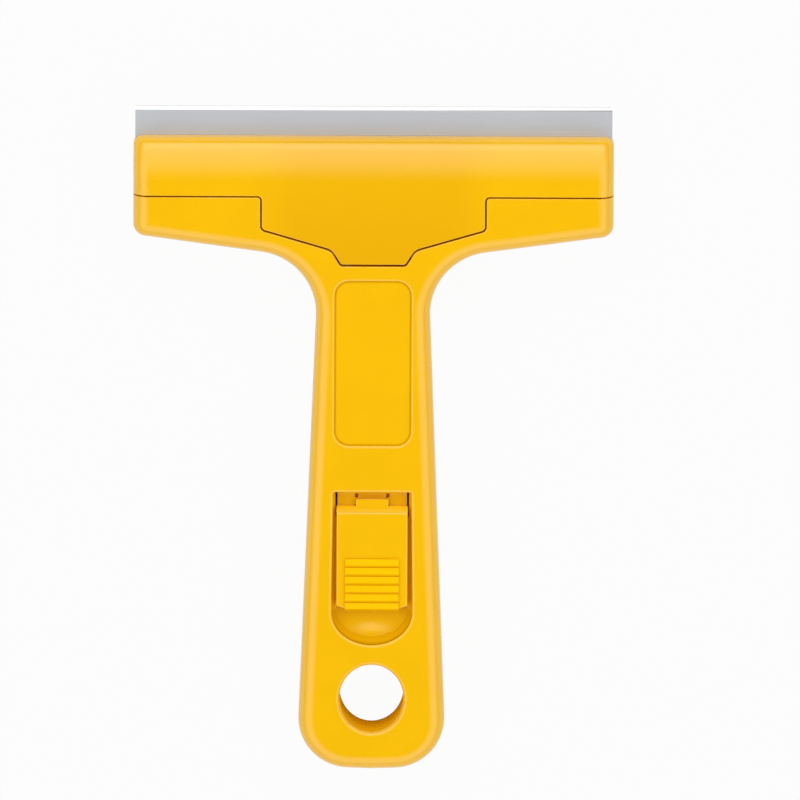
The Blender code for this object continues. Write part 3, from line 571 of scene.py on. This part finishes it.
# Painted shade: the panel's hollow foot is painted darker.
panel_foot_painted_shade = (0.74, 0.37, 0.001)
# Painted shade on the wall behind the thumb dish, darkest towards its rim.
dish_wall_painted_shade = (0.80, 0.425, 0.001)
dish_wall_rim_painted_shade = (0.56, 0.30, 0.001)
dish_wall_fade = (0.0103, 0.0117)


def lid_outline(way=0):
    """Corners of the seam round the lid; its tail has more room to swing than its sides."""
    side = head_half + edge_radius
    swing_shift = way * (swing_gap - seam_gap) / 2
    tail_shift = way * (tail_gap - seam_gap) / 2
    return both_sides([
        (lid_tail_half, lid_rear_place + tail_shift, lid_tail_radius),
        (lid_waist_half, lid_waist_place + swing_shift, lid_waist_radius),
        (lid_shoulder_half, lid_shoulder_place + swing_shift, lid_shoulder_radius),
        (lid_shoulder_half, seam_place, lid_arm_radius),
        (side, seam_place, 0),
        (side, head_front + edge_radius, 0),
    ])


def pocket_outline():
    """Corners of the slider's pocket: straight sides, then half an ellipse at the thumb dish."""
    corners = []
    for step in range(ellipse_steps + 1):
        angle = math.pi * step / ellipse_steps
        depth = (pocket_shoulder - pocket_rear) * math.sin(angle)
        corners.append((-pocket_half * math.cos(angle), pocket_shoulder - depth, 0))
    corners.append((pocket_half, pocket_shoulder + dish_run, 0))
    corners.append((pocket_front_half, pocket_front, pocket_corner_radius))
    corners.append((-pocket_front_half, pocket_front, pocket_corner_radius))
    corners.append((-pocket_half, pocket_shoulder + dish_run, 0))
    return corners


def smooth_step(share):
    """A soft step from 0 to 1."""
    share = min(max(share, 0), 1)
    return share * share * (3 - 2 * share)


def pocket_floor_at(x, place):
    """Height of the pocket's floor: flat under the slider, with a soft rise in the thumb dish."""
    low = body_thickness - dish_depth
    rise = dish_rise * smooth_step((dish_front - place) / dish_slope_run)
    rise *= math.exp(-(x / dish_spread) ** 2)
    slope = min(max((place - pocket_shoulder) / dish_run, 0), 1)
    return low + rise + (dish_depth - pocket_depth) * slope


def pocket_floor(edit, rim):
    """Close the pocket's lowest ring with rows of points across it, from the rear forwards."""
    rear = ellipse_steps // 2
    front = len(rim) // 2
    rows = [[rim[rear]]]
    for step in range(1, front):
        right, left = rim[rear + step], rim[rear - step]
        across = [right.co.lerp(left.co, column / floor_columns)
                  for column in range(1, floor_columns)]
        inner = [edit.verts.new((x, y, pocket_floor_at(x, y))) for x, y, _ in across]
        rows.append([right] + inner + [left])
    for one, two in zip(rows[1], rows[1][1:]):
        edit.faces.new((rows[0][0], one, two))
    for row, following in zip(rows[1:], rows[2:]):
        for one, two, three, four in zip(row, row[1:], following[1:], following):
            edit.faces.new((one, two, three))
            edit.faces.new((one, three, four))
    edit.faces.new(rows[-1] + [rim[rear - front], rim[rear + front]])


def pocket_tool():
    """The pocket with its rounded rim; its fillet follows the floor and is wider at the rear."""
    rings = []
    edge = rounded(pocket_outline())
    for inset, rise in lower_round(0, pocket_fillet):
        ring = []
        for outer, point in zip(edge, rounded(grown(pocket_outline(), inset))):
            rearward = smooth_step((rear_fillet_place - outer.y) / rear_fillet_run)
            widening = (pocket_rear_fillet / pocket_fillet - 1) * rearward
            point = point + (point - outer) * widening
            ring.append((*point, pocket_floor_at(*point) + rise * (1 + widening)))
        rings.append(ring)
    rim_levels = upper_round(body_thickness, pocket_rim, 1)
    rim_levels.append((pocket_rim, body_thickness + beyond))
    for growth, height in rim_levels:
        rim = rounded(grown(pocket_outline(), growth * rim_spread))
        rings.append([(*point, height) for point in rim])
    return loft("pocket", rings, fill_first=pocket_floor)


def in_recess(x, place, z, upward):
    """Whether a face is on a side wall of the pocket or on the wall of the hanging hole."""
    bore = z < body_thickness - hole_rim and in_bore(x, place)
    beside = pocket_shoulder < place < pocket_front + overlap and abs(x) < pocket_half + overlap
    below_rim = tub_roof - beyond < z < body_thickness - pocket_rim
    return bore or beside and below_rim and upward < recess_wall_upward


def round_panel(x, place, z, upward):
    """Whether a face is on the hollow foot of the panel's wall."""
    inside = panel_rear - overlap < place < panel_front + overlap and abs(x) < panel_half + overlap
    below_rim = ceiling < z < body_thickness - panel_rim
    return inside and below_rim and upward < panel_wall_upward


def round_dish(x, place, z, upward):
    """Whether a face is on the rounded wall behind the thumb dish."""
    run = pocket_shoulder - place
    floor_run = pocket_shoulder - pocket_rear - pocket_rear_fillet
    reach = math.hypot(x / (pocket_half - pocket_fillet), run / floor_run)
    inside = abs(x) < pocket_half + overlap and 0 <= run < pocket_shoulder - pocket_rear + overlap
    return inside and reach > 1 and tub_roof < z < dish_wall_top


def painted_shade_upwards(place, colour):
    """Painted shade: the dish's wall is painted darker towards its rim."""
    return place.axis("Z").between(*dish_wall_fade).blend(colour, dish_wall_rim_painted_shade)


front_levels = lower_round(shell_underside, parting_round)
front_levels += upper_round(body_thickness, edge_radius)
front_shell = prism("front_shell", tool_outline(), front_levels)
cut(front_shell, nose_cutter("upper_nose"))
cut(front_shell, prism("cavity", grown(tool_outline(), -side_wall), [(0, 0), (0, ceiling)]))
inside_front = [(0, shell_underside), (0, ceiling + overlap)]
join(front_shell, bore_solid("collar", inside_front, hole_wall))
tub = prism("tub", pocket_outline(), [(pocket_wall, tub_roof), (pocket_wall, ceiling + overlap)])
wall_growth = seam_gap / 2 + opening_wall
wall = prism("wall", lid_outline(), [(wall_growth + growth, height)
                                     for growth, height in inside_front])
inside = prism("inside", grown(tool_outline(), -side_wall / 2), [(0, 0), (0, body_thickness)])
combined(wall, inside, "INTERSECT")
join(front_shell, tub, wall)
opening = [(seam_gap / 2, 0)]
opening += [(seam_gap / 2 + growth, height)
            for growth, height in upper_round(body_thickness, seam_round, 1)]
opening.append((seam_gap / 2 + seam_round, body_thickness + beyond))
cut(front_shell, prism("lid_opening", lid_outline(-1), opening))
cut(front_shell, block("bar_pass", (-bar_pass_half, neck_place, 0),
                       (bar_pass_half, bar_pass_front, bar_pass_roof)))
cut(front_shell, pocket_tool())
for side in (-1, 1):
    near, far = sorted(side * x for x in corner_slot_sides)
    cut(front_shell, block("corner_slot", (near, corner_slot_run[0], tub_roof - beyond),
                           (far, corner_slot_run[1], above_floor)))
    near, far = sorted(side * x for x in notch_sides)
    cut(front_shell, block("notch", (near, notch_run[0], above_floor - notch_depth),
                           (far, notch_run[1], above_floor)))
cut(front_shell, block("stem_slot", (-stem_slot_half, stem_slot_run[0], tub_roof - beyond),
                       (stem_slot_half, stem_slot_run[1], above_floor)))
panel_levels = lower_round(body_thickness - panel_depth, panel_foot)
panel_levels += upper_round(body_thickness, panel_rim, 1) + [(panel_rim, body_thickness + beyond)]
panel_levels = [(growth * panel_spread, height) for growth, height in panel_levels]
panel = both_sides([(panel_half, panel_rear, panel_corner_radius),
                    (panel_half, panel_front, panel_corner_radius)])
cut(front_shell, prism("panel", panel, panel_levels))
cut(front_shell, bore_solid("hanging_hole", hole_levels))
finished(front_shell, moulded_plastic("front_shell_plastic"))
# The pocket's side walls and the hole's wall get the matt core skin, in the darker core yellow of
# painted shade.
dull_recesses(front_shell, "recess_plastic", in_recess)
# The panel's hollow foot gets painted shade, a darker tone.
dull_recesses(front_shell, "panel_foot_painted_shade_plastic", round_panel, panel_foot_painted_shade)
# The wall behind the thumb dish gets painted shade, darkening towards its rim.
dull_recesses(front_shell, "dish_wall_painted_shade_plastic", round_dish, dish_wall_painted_shade, painted_shade_upwards)
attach(front_shell, "handle")
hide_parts("handle_shell")


# Clamp lid: the T-shaped cover that presses the blade on the jaw. It is moulded in the same
# plastic, cored between ribs below, with a knuckle, two trunnions and the cam leg in one
# piece, and it snaps into the front shell by the trunnions.
lid_underside = 0.0067
lid_plate = 0.0022
lid_rim_width = 0.0014
lid_rim_depth = 0.0043
lid_rib = 0.0016
lid_core_depth = 0.0028
lid_core_front = 0.12965
lid_core_count = 8
hinge_place = 0.1102
hinge_height = 0.0103
knuckle_radius = 0.0019
knuckle_half = 0.0065
trunnion_radius = 0.0009
trunnion_half = 0.0099
slider_travel = 0.0040
lid_swing = math.radians(10)
cam_ratio = lid_swing / slider_travel
cam_pin_place = 0.1182
cam_pin_height = 0.0048
cam_slot_half = 0.00115
cam_leg_half = 0.0013
cam_leg_wall = 0.0011
cam_leg_radius = 0.00225
cam_steps = 12
end_steps = 12
peg_room_radius = 0.0030
peg_room_height = 0.0008

# Painted shade in the middle of the lid's head, strongest behind the nose.
head_middle_painted_shade = (0.865, 0.447, 0.001)
head_middle_sides = (0.0150, 0.0270)
head_middle_fade = (0.108, 0.130)
head_middle_least = 0.45


def cam_path():
    """Places of the cross pin in the closed lid's frame, as the slider draws it back."""
    path = []
    for step in range(-1, cam_steps + 2):
        slide = slider_travel * step / cam_steps
        angle = cam_ratio * slide
        y = cam_pin_place - slide - hinge_place
        z = cam_pin_height - hinge_height
        path.append(Vector((hinge_place + y * math.cos(angle) + z * math.sin(angle),
                            hinge_height - y * math.sin(angle) + z * math.cos(angle))))
    return path


def around(path, radius):
    """Outline at a distance all round a path, with round ends."""
    outline = []
    for way in (path, path[::-1]):
        for index, point in enumerate(way):
            ahead = way[min(index + 1, len(way) - 1)] - way[max(index - 1, 0)]
            outward = Vector((ahead.y, -ahead.x)).normalized() * radius
            outline.append(point + outward)
        for step in range(1, end_steps):
            outline.append(way[-1] + Matrix.Rotation(math.pi * step / end_steps, 2) @ outward)
    return outline


def disc(y, z, radius, steps=40):
    """Points (y, z) of a circle."""
    angles = [2 * math.pi * step / steps for step in range(steps)]
    return [(y + radius * math.cos(a), z + radius * math.sin(a)) for a in angles]


def painted_shade_middle(place, colour):
    """Painted shade: the middle of the head is painted darker, most of all behind the nose."""
    middle = 1.0 - abs(place.axis("X")).between(*head_middle_sides)
    low, high = (hanging_end + run for run in head_middle_fade)
    behind = 1.0 - place.axis("Y").between(low, high)
    depth = middle * (head_middle_least + (1 - head_middle_least) * behind)
    return depth.blend(colour, head_middle_painted_shade)


lid_levels = [(0, lid_underside)] + upper_round(body_thickness, edge_radius)
clamp_lid = prism("clamp_cover", tool_outline(), lid_levels)
cut(clamp_lid, nose_cutter("lid_nose"))
seam = [(-seam_gap / 2, lid_underside - beyond)]
seam += [(growth - seam_gap / 2, height)
         for growth, height in upper_round(body_thickness, seam_round)]
seam.append((-seam_gap / 2 - seam_round, body_thickness + beyond))
combined(clamp_lid, prism("seam_edge", lid_outline(1), seam), "INTERSECT")
rim_end = seam_place + seam_gap / 2
cut(clamp_lid, block("below_rim", (-head_half, neck_place, 0),
                     (head_half, rim_end, body_thickness - lid_rim_depth)))
hollow = prism("hollow", grown(lid_outline(), -seam_gap / 2 - lid_rim_width),
               [(0, 0), (0, body_thickness - lid_plate)])
bar_low = (-head_half - edge_radius, seam_place - lid_rim_width, -beyond)
bar_high = (head_half + edge_radius, head_front + edge_radius, body_thickness)
cut(hollow, block("bar_part", bar_low, bar_high))
cut(clamp_lid, hollow)
pitch = (2 * head_half - 2 * edge_radius) / lid_core_count
for index in range(lid_core_count):
    start = pitch * (index - lid_core_count / 2) + lid_rib / 2
    low = (start, rim_end + lid_rib, lid_underside - beyond)
    high = (start + pitch - lid_rib, lid_core_front, lid_underside + lid_core_depth)
    cut(clamp_lid, block("core", low, high))
knuckle = disc(hinge_place, hinge_height, knuckle_radius)
join(clamp_lid, side_prism("knuckle", knuckle, -knuckle_half, knuckle_half))
trunnion = disc(hinge_place, hinge_height, trunnion_radius)
join(clamp_lid, side_prism("trunnions", trunnion, -trunnion_half, trunnion_half))
path = cam_path()
leg_low = min(point.y for point in path) - cam_slot_half - cam_leg_wall
leg_rear = path[-1].x - cam_slot_half - cam_leg_wall
leg_front = path[0].x + cam_slot_half + cam_leg_wall
leg = rounded([(leg_rear, leg_low, cam_leg_radius), (leg_front, leg_low, cam_leg_radius),
               (leg_front, ceiling + overlap, 0), (leg_rear, ceiling + overlap, 0)])
join(clamp_lid, side_prism("cam_leg", leg, -cam_leg_half, cam_leg_half))
cam_slot = around(path, cam_slot_half)
cut(clamp_lid, side_prism("cam_slot", cam_slot, -2 * cam_leg_half, 2 * cam_leg_half))
peg_room = [(peg_room_radius, 0), (peg_room_radius, peg_tip + peg_room_height)]
for side in (-1, 1):
    cut(clamp_lid, turned("peg_room", side * peg_spacing / 2, peg_place, peg_room))
# The lid's plastic carries painted shade in the middle of the head.
finished(clamp_lid, moulded_plastic("lid_plastic", tint=painted_shade_middle))
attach(clamp_lid, "lid")
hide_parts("clamp_lid")


# Blade: a straight strip of hardened steel, pushed over the jaw's two pegs and held by the
# lid. Its faces are ground dull along the strip, and its front edge is ground bright.
blade_low, blade_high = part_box("blade")
blade_rear = blade_low.y - hanging_end
blade_front = blade_high.y - hanging_end
blade_half = blade_high.x
blade_corner_radius = 0.0004
blade_edge_round = 0.00003
blade_hole_radius = 0.0022
bevel_run = 0.00085
edge_land = 0.00004

dull_steel = ((0.64, 0.665, 0.71), (0.674, 0.70, 0.747))
bright_edge = (0.74, 0.745, 0.755)
# Painted shade: a dark grey strip along the very edge of the blade.
edge_painted_shade = (0.42, 0.42, 0.43)
bevel_fade = 0.00006
edge_line_run = (0.00022, 0.00010)


def ground_steel(name):
    """Ground steel: fine lines along the strip, and a bright bevel with lines across it."""
    material, shader, start = new_finish(name)
    place = start.node("ShaderNodeTexCoord", output="Object")
    y = place.axis("Y")
    bevel_start = blade_high.y - bevel_run
    bevel = y.between(bevel_start - bevel_fade, bevel_start + bevel_fade)
    stretched = {"Vector": place, "Scale": (40.0, 9000.0, 1.0)}
    lines = start.node("ShaderNodeMapping", {}, stretched).noise(scale=1.0, detail=4.0)
    clouding = place.noise(scale=55.0, detail=2.0)
    face = (0.6 * lines + 0.4 * clouding).between(0.35, 0.65).blend(*dull_steel)
    # The outermost strip of the edge is painted dark grey, as painted shade.
    outermost = y.between(*(blade_high.y - run for run in edge_line_run))
    outermost.blend(bevel.blend(face, bright_edge), edge_painted_shade).feed(shader, "Base Color")
    (0.55 + 0.35 * bevel).feed(shader, "Metallic")
    (0.42 + 0.06 * lines - 0.12 * bevel).feed(shader, "Roughness")
    lines.relief(strength=0.15, depth=0.00001).feed(shader, "Normal")
    return material


strip = both_sides([(blade_half, blade_rear, blade_corner_radius),
                    (blade_half, blade_front, blade_corner_radius)])
strip_levels = [(-blade_edge_round, blade_low.z), (0, blade_low.z + blade_edge_round),
                (0, blade_high.z - blade_edge_round), (-blade_edge_round, blade_high.z)]
steel_blade = prism("steel_blade", strip, strip_levels)
fall = (blade_high.z - blade_low.z - edge_land) / bevel_run
grinding_start = blade_front - bevel_run
grinding_end = blade_front + beyond
grinding = [(grinding_start, blade_high.z),
            (grinding_end, blade_high.z - fall * (bevel_run + beyond)),
            (grinding_end, blade_high.z + beyond),
            (grinding_start, blade_high.z + beyond)]
cut(steel_blade, side_prism("grinding", grinding, -head_half, head_half))
blade_hole = [(blade_hole_radius, 0), (blade_hole_radius, body_thickness)]
for side in (-1, 1):
    cut(steel_blade, turned("blade_hole", side * peg_spacing / 2, peg_place, blade_hole))
finished(steel_blade, ground_steel("ground_blade_steel"))
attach(steel_blade, "handle")
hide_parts("blade")


# Thumb slider: a plate with six grip ribs, a locking tongue in front, and a stem that a
# screw holds to the bar inside. It is moulded in the same plastic, with rounded edges.
button_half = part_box("slide_button")[1].x
button_rear_half = 0.00555
button_top = 0.0120
button_underside = 0.0102
button_rear = 0.0346
button_corner_run = 0.0007
button_corner_radius = 0.0002
plate_round = 0.0004
crest_place = 0.0550
crest_round = 0.0006
crest_steps = 8
ramp_run = 0.0014
ramp_angle = math.pi / 4
rib_start = 0.0342
rib_pitch = 0.001875
rib_count = 6
rib_height = 0.00040
rib_valley = 0.00014
rib_rear_run = 0.00066
rib_rear_steps = 9
rib_foot_place = 0.00045
rib_top_share = 0.95
rib_top_fall = 0.00004
rib_half_width = 0.0056
rib_top_upward = 0.99
tongue_half = 0.0034
tongue_front = 0.0579
tongue_top = 0.0111
tongue_round = 0.00015
tongue_corner_radius = 0.0003
stem_low = (-0.0030, 0.0440, 0.0065)
stem_high = (0.0030, 0.0560, button_underside + overlap)
pilot_place = 0.0500
pilot_radius = 0.00125

# Painted shade: the rounded rears of the ribs are painted darker.
groove_painted_shade = (0.84, 0.43, 0.001)
# Painted light: the flat tops of the ribs are painted lighter.
rib_top_painted_light = (0.965, 0.565, 0.003)


def in_groove(x, place, z, upward):
    """Whether a face is on the rounded rear of a rib."""
    return z > button_top and upward < rib_top_upward


def on_rib_top(x, place, z, upward):
    """Whether a face is on the flat top of a rib."""
    return z > button_top + rib_valley and upward > rib_top_upward


plate = both_sides([
    (button_rear_half, button_rear, button_corner_radius),
    (button_half, button_rear + button_corner_run, button_corner_radius),
    (button_half, crest_place + ramp_run, button_corner_radius),
])
plate_levels = [(0, button_underside)] + upper_round(button_top, plate_round)
thumb_slider = prism("thumb_slider", plate, plate_levels)
crest_start = crest_place - crest_round * math.tan(ramp_angle / 2)
turns = [ramp_angle * step / crest_steps for step in range(crest_steps + 1)]
ramp = [(crest_start + crest_round * math.sin(a), button_top - crest_round * (1 - math.cos(a)))
        for a in turns]
front = crest_place + ramp_run + beyond
ramp += [(front, button_top - ramp_run - beyond), (front, button_top + beyond),
         (crest_start, button_top + beyond)]
cut(thumb_slider, side_prism("ramp", ramp, -head_half, head_half))
root = button_top - overlap
ribs = [(rib_start + rib_foot_place, root)]
for index in range(rib_count):
    rear = rib_start + rib_pitch * index
    valley = button_top + rib_valley if index else button_top - plate_round
    for step in range(rib_rear_steps + 1):
        turn = math.pi / 2 * step / rib_rear_steps
        height = valley + (button_top + rib_height - valley) * math.sin(turn)
        ribs.append((rear + rib_rear_run * (1 - math.cos(turn)), height))
    ribs.append((rear + rib_top_share * rib_pitch, button_top + rib_height - rib_top_fall))
rib_end = rib_start + rib_pitch * rib_count
ribs += [(rib_end, button_top), (rib_end, root)]
join(thumb_slider, side_prism("ribs", ribs, -rib_half_width, rib_half_width))
tongue = both_sides([(tongue_half, crest_place - ramp_run, 0),
                     (tongue_half, tongue_front, tongue_corner_radius)])
tongue_levels = [(0, button_underside)] + upper_round(tongue_top, tongue_round)
join(thumb_slider, prism("tongue", tongue, tongue_levels))
join(thumb_slider, block("stem", stem_low, stem_high))
pilot = [(pilot_radius, 0), (pilot_radius, button_top - ramp_run)]
cut(thumb_slider, turned("pilot", 0, pilot_place, pilot, steps=32))
finished(thumb_slider, moulded_plastic("slider_plastic"))
# The ribs' rounded rears get painted shade, a darker tone.
dull_recesses(thumb_slider, "groove_painted_shade_plastic", in_groove, groove_painted_shade)
# The ribs' flat tops get painted light, a lighter tone.
dull_recesses(thumb_slider, "rib_top_painted_light_plastic", on_rib_top, rib_top_painted_light)
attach(thumb_slider, "slider")
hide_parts("slide_button")


# Cam bar: the bar that carries the slider's movement to the lid's cam leg, forked round it.
# Its CAD solid is kept, in the yellow plastic of the shells.
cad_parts["cam_bar"].data.materials.clear()
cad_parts["cam_bar"].data.materials.append(moulded_plastic("bar_plastic"))


# Cross pin, detent spring and screws: bought steel parts with a bright zinc coat. Their CAD
# solids are kept.
plated_nodes = ("cam_pin", "detent_spring", "button_screw", "shell_screw_1", "shell_screw_2",
                "shell_screw_3", "shell_screw_4", "shell_screw_5")
zinc_tones = ((0.56, 0.56, 0.58), (0.68, 0.68, 0.68))


def zinc_plate(name):
    """Zinc plate on steel: faint clouding in its colour and gloss, and a fine turned grain."""
    material, shader, start = new_finish(name)
    place = start.node("ShaderNodeTexCoord", output="Object")
    cloud = place.noise(scale=900.0, detail=3.0)
    cloud.between(0.3, 0.7).blend(*zinc_tones).feed(shader, "Base Color")
    (0.24 + 0.10 * cloud).feed(shader, "Roughness")
    grain = place.noise(scale=9000.0, detail=2.0)
    grain.relief(strength=0.12, depth=0.00001).feed(shader, "Normal")
    shader.inputs["Metallic"].default_value = 1.0
    return material


zinc = zinc_plate("zinc_plated_steel")
for node in plated_nodes:
    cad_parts[node].data.materials.clear()
    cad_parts[node].data.materials.append(zinc)


# Table: a plain white surface under the tool. It glows white to the camera and in mirrored
# and transmitted views, and is mid grey to the light, so that it still takes a soft shadow.
table_radius = 4.0
table_grey = 0.45
table_roughness = 0.9
glow_share = 0.96

bpy.ops.mesh.primitive_circle_add(vertices=96, radius=table_radius, fill_type="NGON",
                                  location=(0, 0, 0))
table = bpy.context.object
table.name = "table"
table_finish, shader, start = new_finish("table_white")
shader.inputs["Base Color"].default_value = (table_grey, table_grey, table_grey, 1.0)
shader.inputs["Roughness"].default_value = table_roughness
shader.inputs["Specular IOR Level"].default_value = 0.0
to_camera = start.node("ShaderNodeLightPath", output="Is Camera Ray")
to_gloss = to_camera.output("Is Glossy Ray")
through = to_camera.output("Is Transmission Ray")
seen = start.maths("MINIMUM", to_camera + to_gloss + through, 1.0)
glow = start.node("ShaderNodeEmission", {}, {"Color": (1.0, 1.0, 1.0, 1.0), "Strength": 1.0})
surface = Wire(start.tree, shader.outputs[0])
mixed = start.node("ShaderNodeMixShader", {}, {0: glow_share * seen, 1: surface, 2: glow})
mixed.feed(start.tree.nodes["Material Output"], "Surface")
table.data.materials.append(table_finish)


# Light: a ring of soft light round the place that the flat faces mirror, dim inside the ring
# and near the horizon, and three large soft lamps, the strongest beyond the blade.
ring_tilt = math.radians(12)
ring = [(90, 0.12), (85, 0.22), (76, 0.5), (67, 0.92), (60, 1.2), (52, 1.35), (42, 1.32),
        (32, 1.08), (22, 0.62), (12, 0.07), (6, 0.0)]
lamp_distance = 1.4

world = bpy.data.worlds.new("studio")
bpy.context.scene.world = world
world.use_nodes = True
sky = Wire(world.node_tree)
away = sky.node("ShaderNodeTexCoord", output="Generated")
ring_axis = (0.0, -math.sin(ring_tilt), math.cos(ring_tilt))
closeness = sky.node("ShaderNodeVectorMath", {"operation": "DOT_PRODUCT"},
                     {0: away, 1: ring_axis}, "Value")
stops = [(math.cos(math.radians(angle)), (level, level, level)) for angle, level in ring]
brightness = sky.node("ShaderNodeValToRGB", {"stops": stops}, {0: closeness})
brightness.feed(world.node_tree.nodes["Background"], "Color")


def soft_lamp(name, azimuth, off_vertical, width, depth, brightness):
    """A lamp that faces the tool; angles are in degrees, as the tool sees the lamp."""
    lamp = bpy.data.lights.new(name, "AREA")
    lamp.shape = "RECTANGLE"
    lamp.size = 2 * lamp_distance * math.tan(math.radians(width / 2))
    lamp.size_y = 2 * lamp_distance * math.tan(math.radians(depth / 2))
    lamp.energy = brightness * math.pi * lamp.size * lamp.size_y
    made = bpy.data.objects.new(name, lamp)
    bpy.context.scene.collection.objects.link(made)
    turn, tilt = math.radians(azimuth), math.radians(off_vertical)
    way = Vector((math.sin(turn) * math.sin(tilt), math.cos(turn) * math.sin(tilt),
                  math.cos(tilt)))
    made.location = way * lamp_distance
    made.rotation_mode = "QUATERNION"
    made.rotation_quaternion = way.to_track_quat("Z", "Y")
    made.visible_camera = False


soft_lamp("lamp_beyond_blade", 0, 56, 90, 34, brightness=1.1)
soft_lamp("lamp_left", -90, 50, 24, 16, brightness=0.1)
soft_lamp("lamp_right", 90, 50, 24, 16, brightness=0.1)


# Camera: above the tool, leaning 12 degrees towards the blade, with a hair of roll. It stands
# far away with a long lens, because the photograph shows almost no perspective.
lens = 1200
sensor_width = 36
view_tilt = math.radians(12)
view_roll = math.radians(0.26)
view_distance = 5.556
view_centre = Vector((0.0057, 0.00915, body_thickness))

towards_camera = Vector((0, math.sin(view_tilt), math.cos(view_tilt)))
picture_right = Vector((1, 0, 0))
picture_up = Vector((0, math.cos(view_tilt), -math.sin(view_tilt)))
right = picture_right * math.cos(view_roll) + picture_up * math.sin(view_roll)
up = picture_up * math.cos(view_roll) - picture_right * math.sin(view_roll)
camera_data = bpy.data.cameras.new("camera")
camera_data.lens = lens
camera_data.sensor_width = sensor_width
camera_data.clip_start = 0.01
camera = bpy.data.objects.new("camera", camera_data)
bpy.context.scene.collection.objects.link(camera)
camera.matrix_world = Matrix((right, up, towards_camera)).transposed().to_4x4()
camera.location = view_centre + towards_camera * view_distance
bpy.context.scene.camera = camera
bpy.context.scene.view_settings.view_transform = "Standard"
